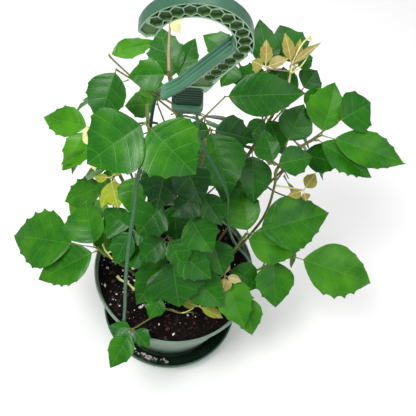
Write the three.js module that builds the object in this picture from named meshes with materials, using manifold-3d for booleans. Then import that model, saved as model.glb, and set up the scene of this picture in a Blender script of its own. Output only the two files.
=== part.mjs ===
// A grape ivy in an 8 inch hanging pot with a clipped-on saucer and a moulded hanger.
//
// Millimetres, +Z up. The origin is the centre of the saucer's underside and the front of the
// plant looks along -Y. Every piece is one closed solid, and touching pieces keep a small gap.

import * as THREE from "three";
import { mergeVertices } from "three/addons/utils/BufferGeometryUtils.js";
import Module from "manifold-3d";

const wasm = await Module();
wasm.setup();

// ---- Driving dimensions ------------------------------------------------------------------

const RING_STEPS = 36; // flats round the pot, the saucer and the soil, which nest in each other
const GAP = 0.3; // clearance between pieces that touch

const RIM_RADIUS = 101.6; // an 8 inch pot, measured over its lip
const RIM_TOP = 150;
const LIP_HEIGHT = 7;
const LIP_DEPTH = 2.6;
const POT_FOOT_RADIUS = 70;
const POT_WALL = 2.2;
const DRAIN_HOLES = 4;
const DRAIN_RADIUS = 4;
const DRAIN_CIRCLE = 48;

const SAUCER_FOOT_RADIUS = 73;
const SAUCER_RIM_RADIUS = 94.7;
const SAUCER_HEIGHT = 30;
const SAUCER_WALL = 2.4;
const SAUCER_FLOOR = 3;

const SOIL_EDGE_TOP = 141.5; // just under the lip, so the straps' feet stay clear of it
const SOIL_CROWN = 5;
const STEM_HOLE_DEPTH = 24;
const HOLE_CLEARANCE = 0.8;

const HANGER_AT = [-7, 0, 450]; // centre of the underside of the hanger's block
const HANGER_LEAN = 10; // degrees that the hook leans to the front
const HANGER_TURN = 10; // degrees that it is turned about the vertical
const HOOK_RISE = 80; // centre of the hook's bend above the block's underside
const HOOK_OUTER = 41;
const HOOK_INNER = 28;
const HOOK_THICKNESS = 11;
const HOOK_TIP_ANGLE = 166; // degrees from +X, where the open end of the hook stops
const HOOK_NECK_ANGLE = -4; // where the bend runs out into the neck
const BLOCK_WIDTH = 26;
const BLOCK_DEPTH = 15;
const BLOCK_HEIGHT = 30;
const BLOCK_PLATE = { thickness: 5, depth: 20 }; // the block's foot, which the straps meet
const BLOCK_INSET = 3; // how much narrower the block is between its ribs
const BLOCK_RIBS = { count: 3, first: 10, pitch: 6, height: 2, inset: 1 };
const CELL_DEPTH = 2.2; // how far the honeycomb is sunk into each side of the hook
const CELL_RADIUS = 5.2;
const BEND_CELLS = { first: 138, last: -8, step: 19 }; // degrees round the hook's bend
const NECK_CELLS = [[26.5, 64], [19.8, 52.5]]; // centres of the cells down the neck
const NECK_SLANT = -30; // degrees that those cells are turned

const STRAP_WIDTH = 4;
const STRAP_THICKNESS = 2;
const STRAP_STEPS = 16;
const STRAP_LANDING = [169, 157, 146.6]; // heights at which a strap is straight above its foot
const STRAP_FOOT = { width: 9, height: 9, thickness: 2, base: 143.6, radius: 97.8 };
const STUD_RADIUS = 1.7;
const STUD_HEIGHT = 146.4;

const LEAF_THICKNESS = 0.8;
const LEAF_FOLD = 14; // degrees that each half of a leaflet is lifted from its midrib
const LEAF_ARCH = 0.16; // drop of the tip below the base, for each unit of length
const HUB_RADIUS = 1.3; // from the joint of a leaf to where its leaflets' stalks start
const WIDEST_HUB_GAP = 150; // degrees between two corners of the hub
const STALK_HALF_WIDTH = 0.8;
const SIDE_LEAN = 0.25; // how much wider the outer half of a side leaflet is
const STEM_SIDES = 5;
const STEM_EXTRA_STEPS = 1; // steps along a stem beyond the number of its points
const STEM_FREE = 150; // height at which a stem is free of the soil
const PETIOLE_SHARE = 0.8; // radius of a petiole, as a share of its stem's
const PETIOLE_BOW = 0.08; // how far its middle is off a straight line, for each unit of length
const PETIOLE_DROP = 2.4; // how far under the leaf it is before it turns to the stem
const SHORT_PETIOLE = 12; // a shorter one is straight

// One side of a leaflet's outline: how far along, and how far out of half its width. Long
// leaflets have three teeth on each side, middling ones two and the smallest one.
const LEAFLET_EDGES = [
  {
    longest: 42,
    edge: [[0.4, 1], [0.5, 0.8], [0.74, 0.52]],
    midrib: [0.5],
  },
  {
    longest: 60,
    edge: [[0.15, 0.66], [0.42, 1], [0.5, 0.82], [0.7, 0.66], [0.78, 0.42]],
    midrib: [0.5],
  },
  {
    longest: Infinity,
    edge: [
      [0.13, 0.62], [0.38, 1], [0.44, 0.87], [0.6, 0.8], [0.66, 0.62], [0.81, 0.46], [0.86, 0.29],
    ],
    midrib: [0.33, 0.68],
  },
];

// ---- Colours -----------------------------------------------------------------------------

const plastic = (color) => new THREE.MeshStandardMaterial({ color, roughness: 0.45, metalness: 0 });
const POT_GREEN = plastic(0x86a088);
const SAUCER_GREEN = plastic(0x4a6b57);
const HANGER_GREEN = plastic(0x4f7f63);
const STRAP_GREEN = plastic(0x7d9a86);
const SOIL_BROWN = new THREE.MeshStandardMaterial({ color: 0x2a1d16, roughness: 1, metalness: 0 });
const LEAF_GREEN = new THREE.MeshStandardMaterial({ color: 0x2f7a1c, roughness: 0.5, metalness: 0 });
const YOUNG_GOLD = new THREE.MeshStandardMaterial({ color: 0xb9ad5c, roughness: 0.6, metalness: 0 });

// ---- The plants --------------------------------------------------------------------------
//
// A leaf hangs on a petiole that leaves the stem at the share `from` of the stem's length and
// ends at `joint`. Its upper side looks to `face`: an azimuth from +X, and a tilt from +Z.
// A leaflet is [turn, stalk, length, width, arch]: turn is its direction in the leaf's plane,
// 0 straight downhill and 90 to the left of someone who looks along it from the joint.

const leaf = (from, joint, face, ...leaflets) => ({ from, joint, face, leaflets });

// The usual grape ivy leaf: a leaflet on a longer stalk with one at either side.
function trio(from, joint, face, size, turn = 0, spread = 76) {
  const side = [2, size * 0.86, size * 0.6];
  const leaflets = [
    [turn, size * 0.16, size, size * 0.66],
    [turn - spread, ...side],
    [turn + spread, ...side],
  ];
  return { from, joint, face, leaflets };
}

const VINES = [
  {
    name: "vine_left",
    radius: 1.6,
    stem: [[-44, -24, 150], [-50, -30, 172], [-64, -36, 204], [-77, -39, 222], [-86, -39, 234]],
    leaves: [
      leaf(1, [-88, -42, 240], [-125, 30], [-57, 26, 86, 62], [-121, 3, 54, 46]),
      leaf(0.96, [-86, -44, 235], [-125, 30], [-25, 3, 75, 44]),
      leaf(0.6, [-92, 10, 216], [-135, 35], [-62, 3, 58, 38], [50, 3, 42, 34]),
      leaf(0.55, [-98, 43, 236], [-125, 35], [-34, 2, 58, 35]),
    ],
  },
  {
    name: "vine_upper_left",
    radius: 1.5,
    stem: [[-34, 8, 150], [-42, 14, 205], [-64, 22, 262], [-84, 26, 312], [-96, 24, 338], [-99, 18, 348]],
    leaves: [
      leaf(0.85, [-106, 34, 350], [-125, 30], [-65, 3, 57, 30], [4, 5, 46, 31]),
      leaf(0.8, [-101, 14, 342], [-60, 65], [-68, 2, 30, 12]),
      trio(0.55, [-88, 50, 272], [175, 40], 46),
      trio(0.4, [-78, 6, 250], [-150, 45], 38, -30),
    ],
  },
  {
    name: "vine_centre_left",
    radius: 1.5,
    stem: [[-20, 4, 150], [-26, 12, 220], [-34, 26, 300], [-46, 36, 360], [-47, 28, 398], [-43, 12, 424]],
    leaves: [
      leaf(1, [-32.3, -38.3, 457], [-95, 33], [60, 2, 50, 50]),
      leaf(0.98, [-34, -38.3, 459], [-95, 33], [-42, 2, 54, 52]),
      leaf(0.56, [-58, 50, 316], [150, 45], [10, 6, 40, 28], [-66, 2, 34, 24]),
      leaf(0.5, [-54, 12, 316], [-100, 33], [10, 2, 38, 30]),
    ],
  },
  {
    name: "vine_tall",
    radius: 1.6,
    stem: [[-8, 30, 150], [-12, 40, 230], [-16, 50, 320], [-24, 54, 390], [-31, 50, 424], [-32, 50, 432]],
    leaves: [
      leaf(0.8, [-30, 66, 404], [-90, 40], [-155, 3, 50, 33]),
      leaf(0.9, [-33, 62, 416], [-90, 40], [-78, 3, 36, 28]),
      leaf(0.83, [-26, 66, 406], [-90, 40], [168, 3, 40, 22]),
      leaf(0.84, [-87, 71, 400], [-110, 35], [6, 2, 52, 40]),
      leaf(0.8, [-96, 80, 408], [-90, 25], [122, 1, 47, 19]),
      leaf(0.58, [-49, 92, 340], [-100, 30], [-69, 2, 33, 29], [-158, 2, 26, 29]),
      trio(0.6, [4, 96, 320], [80, 40], 42, -20),
    ],
  },
  {
    name: "vine_top_right",
    radius: 1.7,
    stem: [[30, 26, 150], [40, 44, 215], [56, 72, 290], [74, 98, 344], [83, 108, 376]],
    leaves: [
      leaf(0.8, [61, 122, 390], [-80, 35], [-168, 2, 52, 29], [-75, 3, 38, 27]),
      leaf(0.88, [88, 136, 388], [-70, 35], [-168, 5, 42, 40], [116, 3, 20, 22]),
      leaf(0.78, [102, 132, 362], [-70, 30], [136, 3, 27, 28], [49, 3, 26, 24], [-128, 3, 40, 30]),
      leaf(0.9, [25, 119, 402], [-80, 35], [-121, 3, 36, 26], [-24, 6, 26, 20]),
      leaf(0.8, [69, 93, 352], [-80, 35], [31, 3, 41, 27], [-38, 3, 32, 25]),
      leaf(0.64, [62, 68, 322], [-80, 33], [6, 4, 50, 38]),
      trio(0.72, [98, 130, 316], [40, 45], 44),
    ],
  },
  {
    name: "vine_neck",
    radius: 1.3,
    stem: [[-2, 16, 150], [-3, 26, 240], [-6, 44, 330], [2, 42, 380], [5, 38, 391]],
    leaves: [leaf(1, [22, 52, 412], [-90, 40], [104, 2, 73, 38])],
  },
  {
    name: "vine_right",
    radius: 1.6,
    stem: [
      [62, 18, 150], [78, 28, 192], [94, 40, 245], [94, 46, 300], [90, 42, 334], [104, 60, 346],
      [124, 78, 352],
    ],
    leaves: [
      leaf(1, [128, 76, 360], [-75, 30], [73, 13, 87, 36], [160, 3, 58, 38]),
      leaf(0.98, [126, 73, 355], [-75, 30], [56, 3, 67, 29]),
      leaf(0.97, [142, 90, 370], [-70, 35], [113, 2, 43, 42]),
      leaf(0.86, [93, 57, 357], [-80, 32], [158, 3, 43, 35]),
      leaf(0.82, [85, 36, 347], [-80, 32], [105, 3, 38, 29], [-162, 3, 34, 25]),
      leaf(0.69, [113, 74, 326], [-75, 32], [78, 3, 48, 30]),
    ],
  },
  {
    name: "vine_front_right",
    radius: 1.5,
    stem: [[42, -10, 150], [52, -10, 184], [64, -6, 222], [75, 4, 256]],
    leaves: [
      leaf(1, [76, 0, 262], [-80, 30], [107, 14, 85, 57], [-172, 3, 58, 41]),
      leaf(0.96, [74, -3, 257], [-80, 30], [80, 3, 62, 42]),
    ],
  },
  {
    name: "vine_lower_right",
    radius: 1.4,
    stem: [[68, -14, 150], [84, -12, 176], [104, -8, 206], [116, -6, 224]],
    leaves: [
      leaf(1, [136, -2, 236], [-70, 28], [66, 9, 96, 57]),
      leaf(0.85, [114, 2, 216], [-85, 30], [11, 2, 56, 43]),
      trio(0.8, [126, 38, 214], [15, 50], 42, 10),
    ],
  },
  {
    name: "vine_low_right",
    radius: 1.4,
    stem: [[36, -34, 150], [40, -32, 166], [50, -26, 184], [57, -24, 192]],
    leaves: [
      leaf(0.8, [62, -14, 200], [-80, 30], [63, 5, 42, 36]),
      leaf(0.85, [58, -18, 200], [-80, 26], [24, 8, 65, 41]),
      leaf(0.6, [88, -32, 176], [-70, 30], [10, 3, 50, 33]),
    ],
  },
  {
    name: "vine_front",
    radius: 1.5,
    stem: [[-8, -30, 150], [-10, -26, 184], [-8, -20, 222], [-6, -22, 258]],
    leaves: [
      leaf(1, [-10, -25, 266], [-95, 30], [-33, 3, 38, 28], [42, 4, 36, 27]),
      leaf(0.9, [-30, -24, 250], [-100, 32], [-30, 3, 42, 35]),
      leaf(0.96, [-1, -33, 258], [-85, 30], [57, 3, 49, 35]),
      leaf(0.78, [-2, -29, 228], [-90, 32], [19, 5, 52, 60]),
      leaf(0.76, [-6, -27, 224], [-92, 34], [-21, 3, 65, 39]),
      leaf(0.5, [-6, -60, 190], [-95, 28], [-12, 2, 28, 22]),
      leaf(0.6, [18, -34, 212], [-88, 30], [54, 2, 56, 40]),
    ],
  },
  {
    name: "vine_sprig",
    radius: 1.1,
    stem: [[34, -58, 150], [30, -60, 155], [19, -64, 157], [0, -64, 157], [-14, -78, 158], [-30, -95, 160]],
    leaves: [leaf(1, [-31, -98, 166], [-100, 25], [-10, 5, 46, 28], [-75, 2, 26, 17], [60, 2, 26, 18])],
  },
  {
    name: "vine_centre",
    radius: 1.6,
    stem: [[4, -6, 150], [8, 0, 220], [10, 6, 290], [12, 14, 340], [12, 20, 384]],
    leaves: [
      leaf(0.7, [12.8, 60, 355], [-85, 30], [23, 4, 67, 52, 0.03]),
      leaf(0.66, [15, 66, 346], [-85, 30], [86, 2, 42, 36], [-78, 2, 32, 26]),
      leaf(0.97, [-2, 24, 386], [-90, 33], [7, 3, 24, 20]),
      leaf(0.6, [46, 38, 322], [-85, 33], [-10, 3, 32, 27]),
      leaf(0.86, [-20, 7, 365], [-95, 33], [2, 2, 52, 40]),
      leaf(0.9, [-6, 2, 370], [-90, 33], [35, 2, 43, 35]),
      leaf(0.75, [15, -2, 330], [-88, 33], [43, 3, 38, 26], [-38, 3, 34, 28]),
      leaf(0.66, [9, -18, 304], [-88, 33], [42, 2, 42, 38]),
      leaf(0.7, [-17, -15, 316], [-95, 33], [-26, 3, 40, 38]),
      leaf(0.45, [-11, 16, 272], [-90, 33], [15, 2, 45, 34]),
      leaf(0.42, [38, -8, 252], [-86, 33], [24, 2, 42, 36]),
    ],
  },
  {
    name: "vine_strap_side",
    radius: 1.3,
    stem: [[-48, 0, 150], [-52, 0, 200], [-58, 4, 250], [-68, 10, 284], [-73, 11, 291]],
    leaves: [leaf(0.65, [-50, -22, 262], [-110, 35], [0, 3, 41, 27], [-94, 2, 38, 34], [77, 3, 31, 23])],
  },
  {
    name: "vine_back_left",
    radius: 1.6,
    stem: [[-40, 40, 150], [-46, 46, 168], [-64, 66, 200], [-92, 92, 256], [-110, 108, 306]],
    leaves: [
      trio(1, [-116, 116, 316], [145, 45], 46),
      trio(0.78, [-126, 76, 270], [170, 50], 46),
      trio(0.75, [-84, 122, 262], [115, 50], 46),
    ],
  },
  {
    name: "vine_back",
    radius: 1.6,
    stem: [[0, 62, 150], [2, 92, 196], [2, 118, 234], [2, 134, 270]],
    leaves: [
      trio(1, [2, 142, 280], [90, 42], 48),
      trio(0.8, [-38, 136, 250], [110, 48], 44),
      trio(0.74, [42, 134, 240], [70, 48], 44),
    ],
  },
  {
    name: "vine_back_right",
    radius: 1.6,
    stem: [[48, 44, 150], [54, 52, 168], [72, 74, 196], [98, 94, 244], [116, 104, 280]],
    leaves: [
      trio(1, [124, 112, 288], [45, 45], 44),
      trio(0.7, [84, 128, 244], [65, 52], 44),
      trio(0.7, [126, 82, 236], [20, 52], 42),
    ],
  },
];

// Young growth of another colour. It starts at the end of a vine or in the soil, and its
// small leaves are still narrow.
const YOUNG_SHOOTS = [
  {
    name: "young_left",
    radius: 1.1,
    stem: [[-99.3, 17.1, 349.3], [-97, 12, 350.5], [-94, 7.5, 351]],
    leaves: [leaf(1, [-96, 4, 356], [-125, 35], [-120, 2, 22, 12], [49, 2, 19, 12])],
  },
  {
    name: "young_tall",
    radius: 1.2,
    stem: [[-32, 50, 432.6], [-35, 60, 450], [-37, 71, 469]],
    leaves: [leaf(1, [-37, 67, 474], [-90, 45], [120, 1, 13, 9], [50, 1, 12, 8], [-170, 1, 10, 7])],
  },
  {
    name: "young_top_right",
    radius: 1.2,
    stem: [[83.3, 108.4, 376.9], [84, 118, 387], [82, 128, 397]],
    leaves: [
      leaf(0.8, [56, 106, 408], [-80, 40], [-178, 2, 24, 12], [-112, 2, 12, 14], [115, 2, 22, 10]),
      leaf(1, [82, 123, 403], [-80, 40], [-165, 3, 28, 12], [130, 3, 34, 7]),
      leaf(0.8, [86, 122, 398], [-80, 40], [171, 3, 28, 10]),
    ],
  },
  {
    name: "young_strap",
    radius: 1,
    stem: [[-73.6, 11.2, 291.7], [-76, 14, 293], [-79.8, 15.5, 295.5]],
    leaves: [
      leaf(1, [-81, 12, 301], [-110, 33], [41, 3, 29, 25], [159, 2, 14, 12], [-66, 2, 17, 9]),
      leaf(0.5, [-79, 10, 297], [-110, 36], [2, 9, 21, 10]),
    ],
  },
  {
    name: "young_right",
    radius: 1,
    stem: [[96.2, 46, 299], [108, 48, 297], [124.5, 49, 296]],
    leaves: [leaf(1, [126, 45, 302], [-80, 35], [146, 2, 20, 15], [-68, 2, 15, 10], [16, 2, 9, 9])],
  },
  {
    name: "young_front",
    radius: 1,
    stem: [[57.5, -23.9, 192.6], [59.5, -24, 196], [61.5, -24.6, 200.5]],
    leaves: [leaf(1, [62, -28, 206], [-80, 30], [73, 2, 18, 10], [-5, 2, 17, 14], [174, 2, 16, 12])],
  },
  {
    name: "young_soil",
    radius: 1,
    stem: [[42, -47, 150], [41.5, -47.5, 152.5], [40, -49.5, 155.8]],
    leaves: [leaf(1, [40, -53, 161], [-90, 30], [-94, 2, 22, 11], [74, 2, 29, 13], [150, 2, 18, 10])],
  },
];

// ---- Solids ------------------------------------------------------------------------------

const vector = (p) => new THREE.Vector3(...p);
const radians = THREE.MathUtils.degToRad;

// A closed geometry as a solid that can be joined and cut.
function solid(geometry) {
  const bare = geometry.index ? geometry.toNonIndexed() : geometry.clone();
  bare.deleteAttribute("normal");
  bare.deleteAttribute("uv");
  const merged = mergeVertices(bare);
  const corners = [];
  const index = merged.index.array;
  for (let i = 0; i < index.length; i += 3) {
    const [a, b, c] = [index[i], index[i + 1], index[i + 2]];
    if (a !== b && b !== c && c !== a) corners.push(a, b, c);
  }
  const mesh = new wasm.Mesh({
    numProp: 3,
    vertProperties: new Float32Array(merged.attributes.position.array),
    triVerts: new Uint32Array(corners),
  });
  return new wasm.Manifold(mesh);
}

// A solid from the corners of its triangles, three by three.
function solidOf(corners) {
  const positions = new Float32Array(corners.flatMap((p) => p.toArray()));
  const geometry = new THREE.BufferGeometry();
  geometry.setAttribute("position", new THREE.BufferAttribute(positions, 3));
  return solid(geometry);
}

function geometryOf(body) {
  const mesh = body.getMesh();
  const geometry = new THREE.BufferGeometry();
  geometry.setAttribute("position", new THREE.BufferAttribute(mesh.vertProperties, 3));
  geometry.setIndex(new THREE.BufferAttribute(mesh.triVerts, 1));
  return geometry;
}

function part(name, body, material) {
  const mesh = new THREE.Mesh(geometryOf(body), material);
  mesh.name = name;
  return mesh;
}

const joined = (bodies) => bodies.reduce((sum, body) => sum.add(body));

function polygon(radius, sides) {
  const points = [];
  for (let i = 0; i < sides; i++) {
    const angle = ((i + 0.5) / sides) * 2 * Math.PI;
    points.push(new THREE.Vector2(radius * Math.cos(angle), radius * Math.sin(angle)));
  }
  return new THREE.Shape(points);
}

// A rod of even section along a smooth curve through the points.
function rod(points, section, steps) {
  const extrudePath = new THREE.CatmullRomCurve3(points.map(vector), false, "centripetal");
  return solid(new THREE.ExtrudeGeometry(section, { steps, bevelEnabled: false, extrudePath }));
}

// A profile of [radius, height] pairs, from the axis outwards and round, turned about +Z.
function turned(profile) {
  const points = profile.map(([radius, height]) => new THREE.Vector2(radius, height));
  return solid(new THREE.LatheGeometry(points, RING_STEPS).rotateX(Math.PI / 2));
}

function cylinder(radius, from, to, sides) {
  const axis = new THREE.LineCurve3(vector(from), vector(to));
  const options = { steps: 1, bevelEnabled: false, extrudePath: axis };
  return solid(new THREE.ExtrudeGeometry(polygon(radius, sides), options));
}

function box(width, depth, height, centre) {
  return solid(new THREE.BoxGeometry(width, depth, height).translate(...centre));
}

// ---- Pot, saucer and soil ----------------------------------------------------------------

const POT_FOOT = SAUCER_FLOOR + GAP;
const LIP_BASE = RIM_TOP - LIP_HEIGHT;
const LIP_INNER = RIM_RADIUS - LIP_DEPTH;

// Radius of the pot's outer wall at a height, and of its inner wall.
function potRadius(height) {
  const share = (height - POT_FOOT) / (LIP_BASE - POT_FOOT);
  return THREE.MathUtils.lerp(POT_FOOT_RADIUS, LIP_INNER + 0.6, share);
}
const potInner = (height) => potRadius(height) - POT_WALL;

const strapAngles = { front_left: -117, right: 3, back: 123 };

function aroundAxis(radius, angle, height) {
  const turn = radians(angle);
  return [radius * Math.cos(turn), radius * Math.sin(turn), height];
}

function pot() {
  const floorTop = POT_FOOT + POT_WALL;
  let body = turned([
    [0, POT_FOOT],
    [POT_FOOT_RADIUS, POT_FOOT],
    [potRadius(LIP_BASE), LIP_BASE],
    [RIM_RADIUS, LIP_BASE + 1],
    [RIM_RADIUS, RIM_TOP - 1],
    [RIM_RADIUS - 1, RIM_TOP],
    [LIP_INNER, RIM_TOP],
    [LIP_INNER, LIP_BASE],
    [potInner(LIP_BASE - 1), LIP_BASE - 1],
    [potInner(floorTop), floorTop],
    [0, floorTop],
  ]);
  for (let i = 0; i < DRAIN_HOLES; i++) {
    const [x, y] = aroundAxis(DRAIN_CIRCLE, (i + 0.5) * (360 / DRAIN_HOLES), 0);
    body = body.subtract(cylinder(DRAIN_RADIUS, [x, y, 0], [x, y, floorTop + 1], 8));
  }
  for (const angle of Object.values(strapAngles)) {
    const inside = aroundAxis(LIP_INNER - 4, angle, STUD_HEIGHT);
    const outside = aroundAxis(RIM_RADIUS + 4, angle, STUD_HEIGHT);
    body = body.subtract(cylinder(STUD_RADIUS + GAP, inside, outside, 8));
  }
  return part("pot", body, POT_GREEN);
}

function saucer() {
  const inner = SAUCER_RIM_RADIUS - SAUCER_WALL;
  const body = turned([
    [0, 0],
    [SAUCER_FOOT_RADIUS, 0],
    [SAUCER_RIM_RADIUS - 1, SAUCER_HEIGHT - 4],
    [SAUCER_RIM_RADIUS, SAUCER_HEIGHT - 3],
    [SAUCER_RIM_RADIUS, SAUCER_HEIGHT],
    [inner, SAUCER_HEIGHT],
    [inner - 0.6, SAUCER_HEIGHT - 4],
    [SAUCER_FOOT_RADIUS - 0.6, SAUCER_FLOOR],
    [0, SAUCER_FLOOR],
  ]);
  return part("saucer", body, SAUCER_GREEN);
}

function soil() {
  const base = POT_FOOT + POT_WALL + GAP;
  const edge = potInner(SOIL_EDGE_TOP) - GAP;
  let body = turned([
    [0, base],
    [potInner(base) - GAP, base],
    [edge, SOIL_EDGE_TOP - 1],
    [edge - 3, SOIL_EDGE_TOP],
    [edge * 0.6, SOIL_EDGE_TOP + SOIL_CROWN * 0.8],
    [0, SOIL_EDGE_TOP + SOIL_CROWN],
  ]);
  for (const { stem, radius } of rootedPlants()) {
    const [x, y] = stem[0];
    const floor = SOIL_EDGE_TOP - STEM_HOLE_DEPTH - GAP;
    const top = SOIL_EDGE_TOP + 2 * SOIL_CROWN;
    body = body.subtract(cylinder(radius + HOLE_CLEARANCE, [x, y, floor], [x, y, top], 6));
  }
  return part("soil", body, SOIL_BROWN);
}

// ---- Hanger ------------------------------------------------------------------------------

function hookOutline() {
  const shape = new THREE.Shape();
  const tip = radians(HOOK_TIP_ANGLE);
  const neck = radians(HOOK_NECK_ANGLE);
  const middle = (HOOK_OUTER + HOOK_INNER) / 2;
  shape.moveTo(-21.5, 12.5);
  shape.lineTo(-19, 9.8);
  shape.lineTo(-9, 20);
  shape.lineTo(13, BLOCK_HEIGHT - 6);
  shape.lineTo(14.5, 26);
  shape.lineTo(23, 46);
  shape.lineTo(35, 68);
  shape.absarc(0, HOOK_RISE, HOOK_OUTER, neck, tip, false);
  const tipX = middle * Math.cos(tip + 0.12);
  const tipY = HOOK_RISE + middle * Math.sin(tip + 0.12);
  shape.lineTo(tipX, tipY);
  shape.absarc(0, HOOK_RISE, HOOK_INNER, tip, neck + 0.1, true);
  shape.lineTo(19.4, 70.4);
  shape.lineTo(8.9, 54);
  shape.lineTo(-7.9, 27);
  shape.closePath();
  return shape;
}

// A prism across the hook's thickness from a shape in its own plane.
function hookSlab(shape, thickness, curveSegments) {
  const options = { depth: thickness, bevelEnabled: false, curveSegments };
  const geometry = new THREE.ExtrudeGeometry(shape, options);
  return solid(geometry.translate(0, 0, -thickness / 2).rotateX(Math.PI / 2));
}

// Centres of the honeycomb's hollows: along the bend, then down the neck.
function honeycombCentres() {
  const middle = (HOOK_OUTER + HOOK_INNER) / 2;
  const centres = [];
  for (let angle = BEND_CELLS.first; angle >= BEND_CELLS.last; angle -= BEND_CELLS.step) {
    const turn = radians(angle);
    centres.push([middle * Math.cos(turn), HOOK_RISE + middle * Math.sin(turn), angle]);
  }
  for (const [x, z] of NECK_CELLS) centres.push([x, z, NECK_SLANT]);
  return centres;
}

function hangerHook() {
  const blank = hookSlab(hookOutline(), HOOK_THICKNESS, 22);
  let body = blank;
  for (const [x, z, angle] of honeycombCentres()) {
    const cell = polygon(CELL_RADIUS, 6);
    const depth = 2 * CELL_DEPTH;
    const hollow = hookSlab(cell, depth, 1).rotate([0, -angle, 0]);
    for (const side of [-1, 1]) {
      body = body.subtract(hollow.translate([x, (side * HOOK_THICKNESS) / 2, z]));
    }
  }
  // A box as wide and deep as the block, less `inset`, from one height to another.
  const slab = (inset, from, to, depth = BLOCK_DEPTH) => {
    return box(BLOCK_WIDTH - inset, depth - inset, to - from, [0, 0, (from + to) / 2]);
  };
  body = body.add(slab(BLOCK_INSET, BLOCK_PLATE.thickness - 1, BLOCK_HEIGHT));
  body = body.add(slab(0, 0, BLOCK_PLATE.thickness, BLOCK_PLATE.depth));
  const { count, first, pitch, height, inset } = BLOCK_RIBS;
  for (let i = 0; i < count; i++) {
    const middle = first + i * pitch;
    body = body.add(slab(inset, middle - height / 2, middle + height / 2));
  }
  const mesh = part("hanger_hook", body, HANGER_GREEN);
  mesh.position.set(...HANGER_AT);
  mesh.rotation.set(radians(HANGER_LEAN), 0, radians(HANGER_TURN), "ZYX");
  return mesh;
}

// Each strap runs from under the block to a foot inside the pot's lip, with a stud through the
// lip. A stop on its route is [distance from the block's axis, azimuth, height].
const STRAP_ROUTES = {
  front_left: [
    [8, -117, 447.9], [8.6, -118, 441], [28, -130, 417], [46, -132, 394], [59, -125, 345],
    [72, -120, 300], [85, -115.6, 240], [91, -113.6, 196],
  ],
  right: [
    [8, 2.8, 449.2], [9, 2.8, 440], [14, 2.8, 408], [25, 2.8, 384], [36, 2.8, 360], [51, 2.8, 326],
    [55, 2.8, 298], [60, 2.8, 266], [72, 2.8, 232], [92, 2.8, 200],
  ],
  back: [
    [8, 119, 450.4], [9, 119, 443], [32, 119, 434], [55, 119, 412], [78, 119, 383], [90, 119, 350],
    [97, 119.4, 300], [97, 119.6, 240],
  ],
};

// A flat band with its width level and square to the line from the block's axis.
function band(route, start) {
  const path = new THREE.CatmullRomCurve3(route, false, "centripetal");
  const rings = path.getSpacedPoints(STRAP_STEPS).map((point, k) => {
    const along = path.getTangentAt(k / STRAP_STEPS);
    const beside = new THREE.Vector3(0, 0, 1).cross(point.clone().sub(start)).setZ(0).normalize();
    beside.addScaledVector(along, -beside.dot(along)).normalize();
    const outwards = beside.clone().cross(along).multiplyScalar(STRAP_THICKNESS / 2);
    beside.multiplyScalar(STRAP_WIDTH / 2);
    const corners = [[1, -1], [-1, -1], [-1, 1], [1, 1]];
    return corners.map(([a, b]) => point.clone().addScaledVector(beside, a).addScaledVector(outwards, b));
  });
  const faces = [];
  const quad = (a, b, c, d) => faces.push(a, b, c, a, c, d);
  rings.slice(1).forEach((lower, k) => {
    const upper = rings[k];
    for (let i = 0; i < 4; i++) quad(upper[i], upper[(i + 1) % 4], lower[(i + 1) % 4], lower[i]);
  });
  quad(...rings[0].toReversed());
  quad(...rings.at(-1));
  return solidOf(faces);
}

function strap(name) {
  const angle = strapAngles[name];
  const foot = vector(aroundAxis(STRAP_FOOT.radius - STRAP_FOOT.thickness / 2, angle, 0));
  const start = vector(HANGER_AT).setZ(0);
  const route = STRAP_ROUTES[name].map(([out, azimuth, height]) => {
    return vector(aroundAxis(out, azimuth, height)).add(start);
  });
  for (const height of STRAP_LANDING) route.push(foot.clone().setZ(height));
  const pad = new THREE.BoxGeometry(STRAP_FOOT.thickness, STRAP_FOOT.width, STRAP_FOOT.height);
  pad.rotateZ(radians(angle));
  pad.translate(foot.x, foot.y, STRAP_FOOT.base + STRAP_FOOT.height / 2);
  const studFrom = aroundAxis(STRAP_FOOT.radius - 1, angle, STUD_HEIGHT);
  const studTo = aroundAxis(RIM_RADIUS + 1.5, angle, STUD_HEIGHT);
  const stud = cylinder(STUD_RADIUS, studFrom, studTo, 8);
  return part(`strap_${name}`, joined([band(route, start), solid(pad), stud]), STRAP_GREEN);
}

// ---- Leaves and stems --------------------------------------------------------------------

// The upper side's normal, the downhill direction and the level one for a facing.
function leafFrame([azimuth, tilt]) {
  const a = radians(azimuth);
  const t = radians(tilt);
  const normal = new THREE.Vector3(Math.cos(a) * Math.sin(t), Math.sin(a) * Math.sin(t), Math.cos(t));
  const downhill = new THREE.Vector3(Math.cos(a) * Math.cos(t), Math.sin(a) * Math.cos(t), -Math.sin(t));
  return { normal, downhill, level: normal.clone().cross(downhill) };
}

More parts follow.
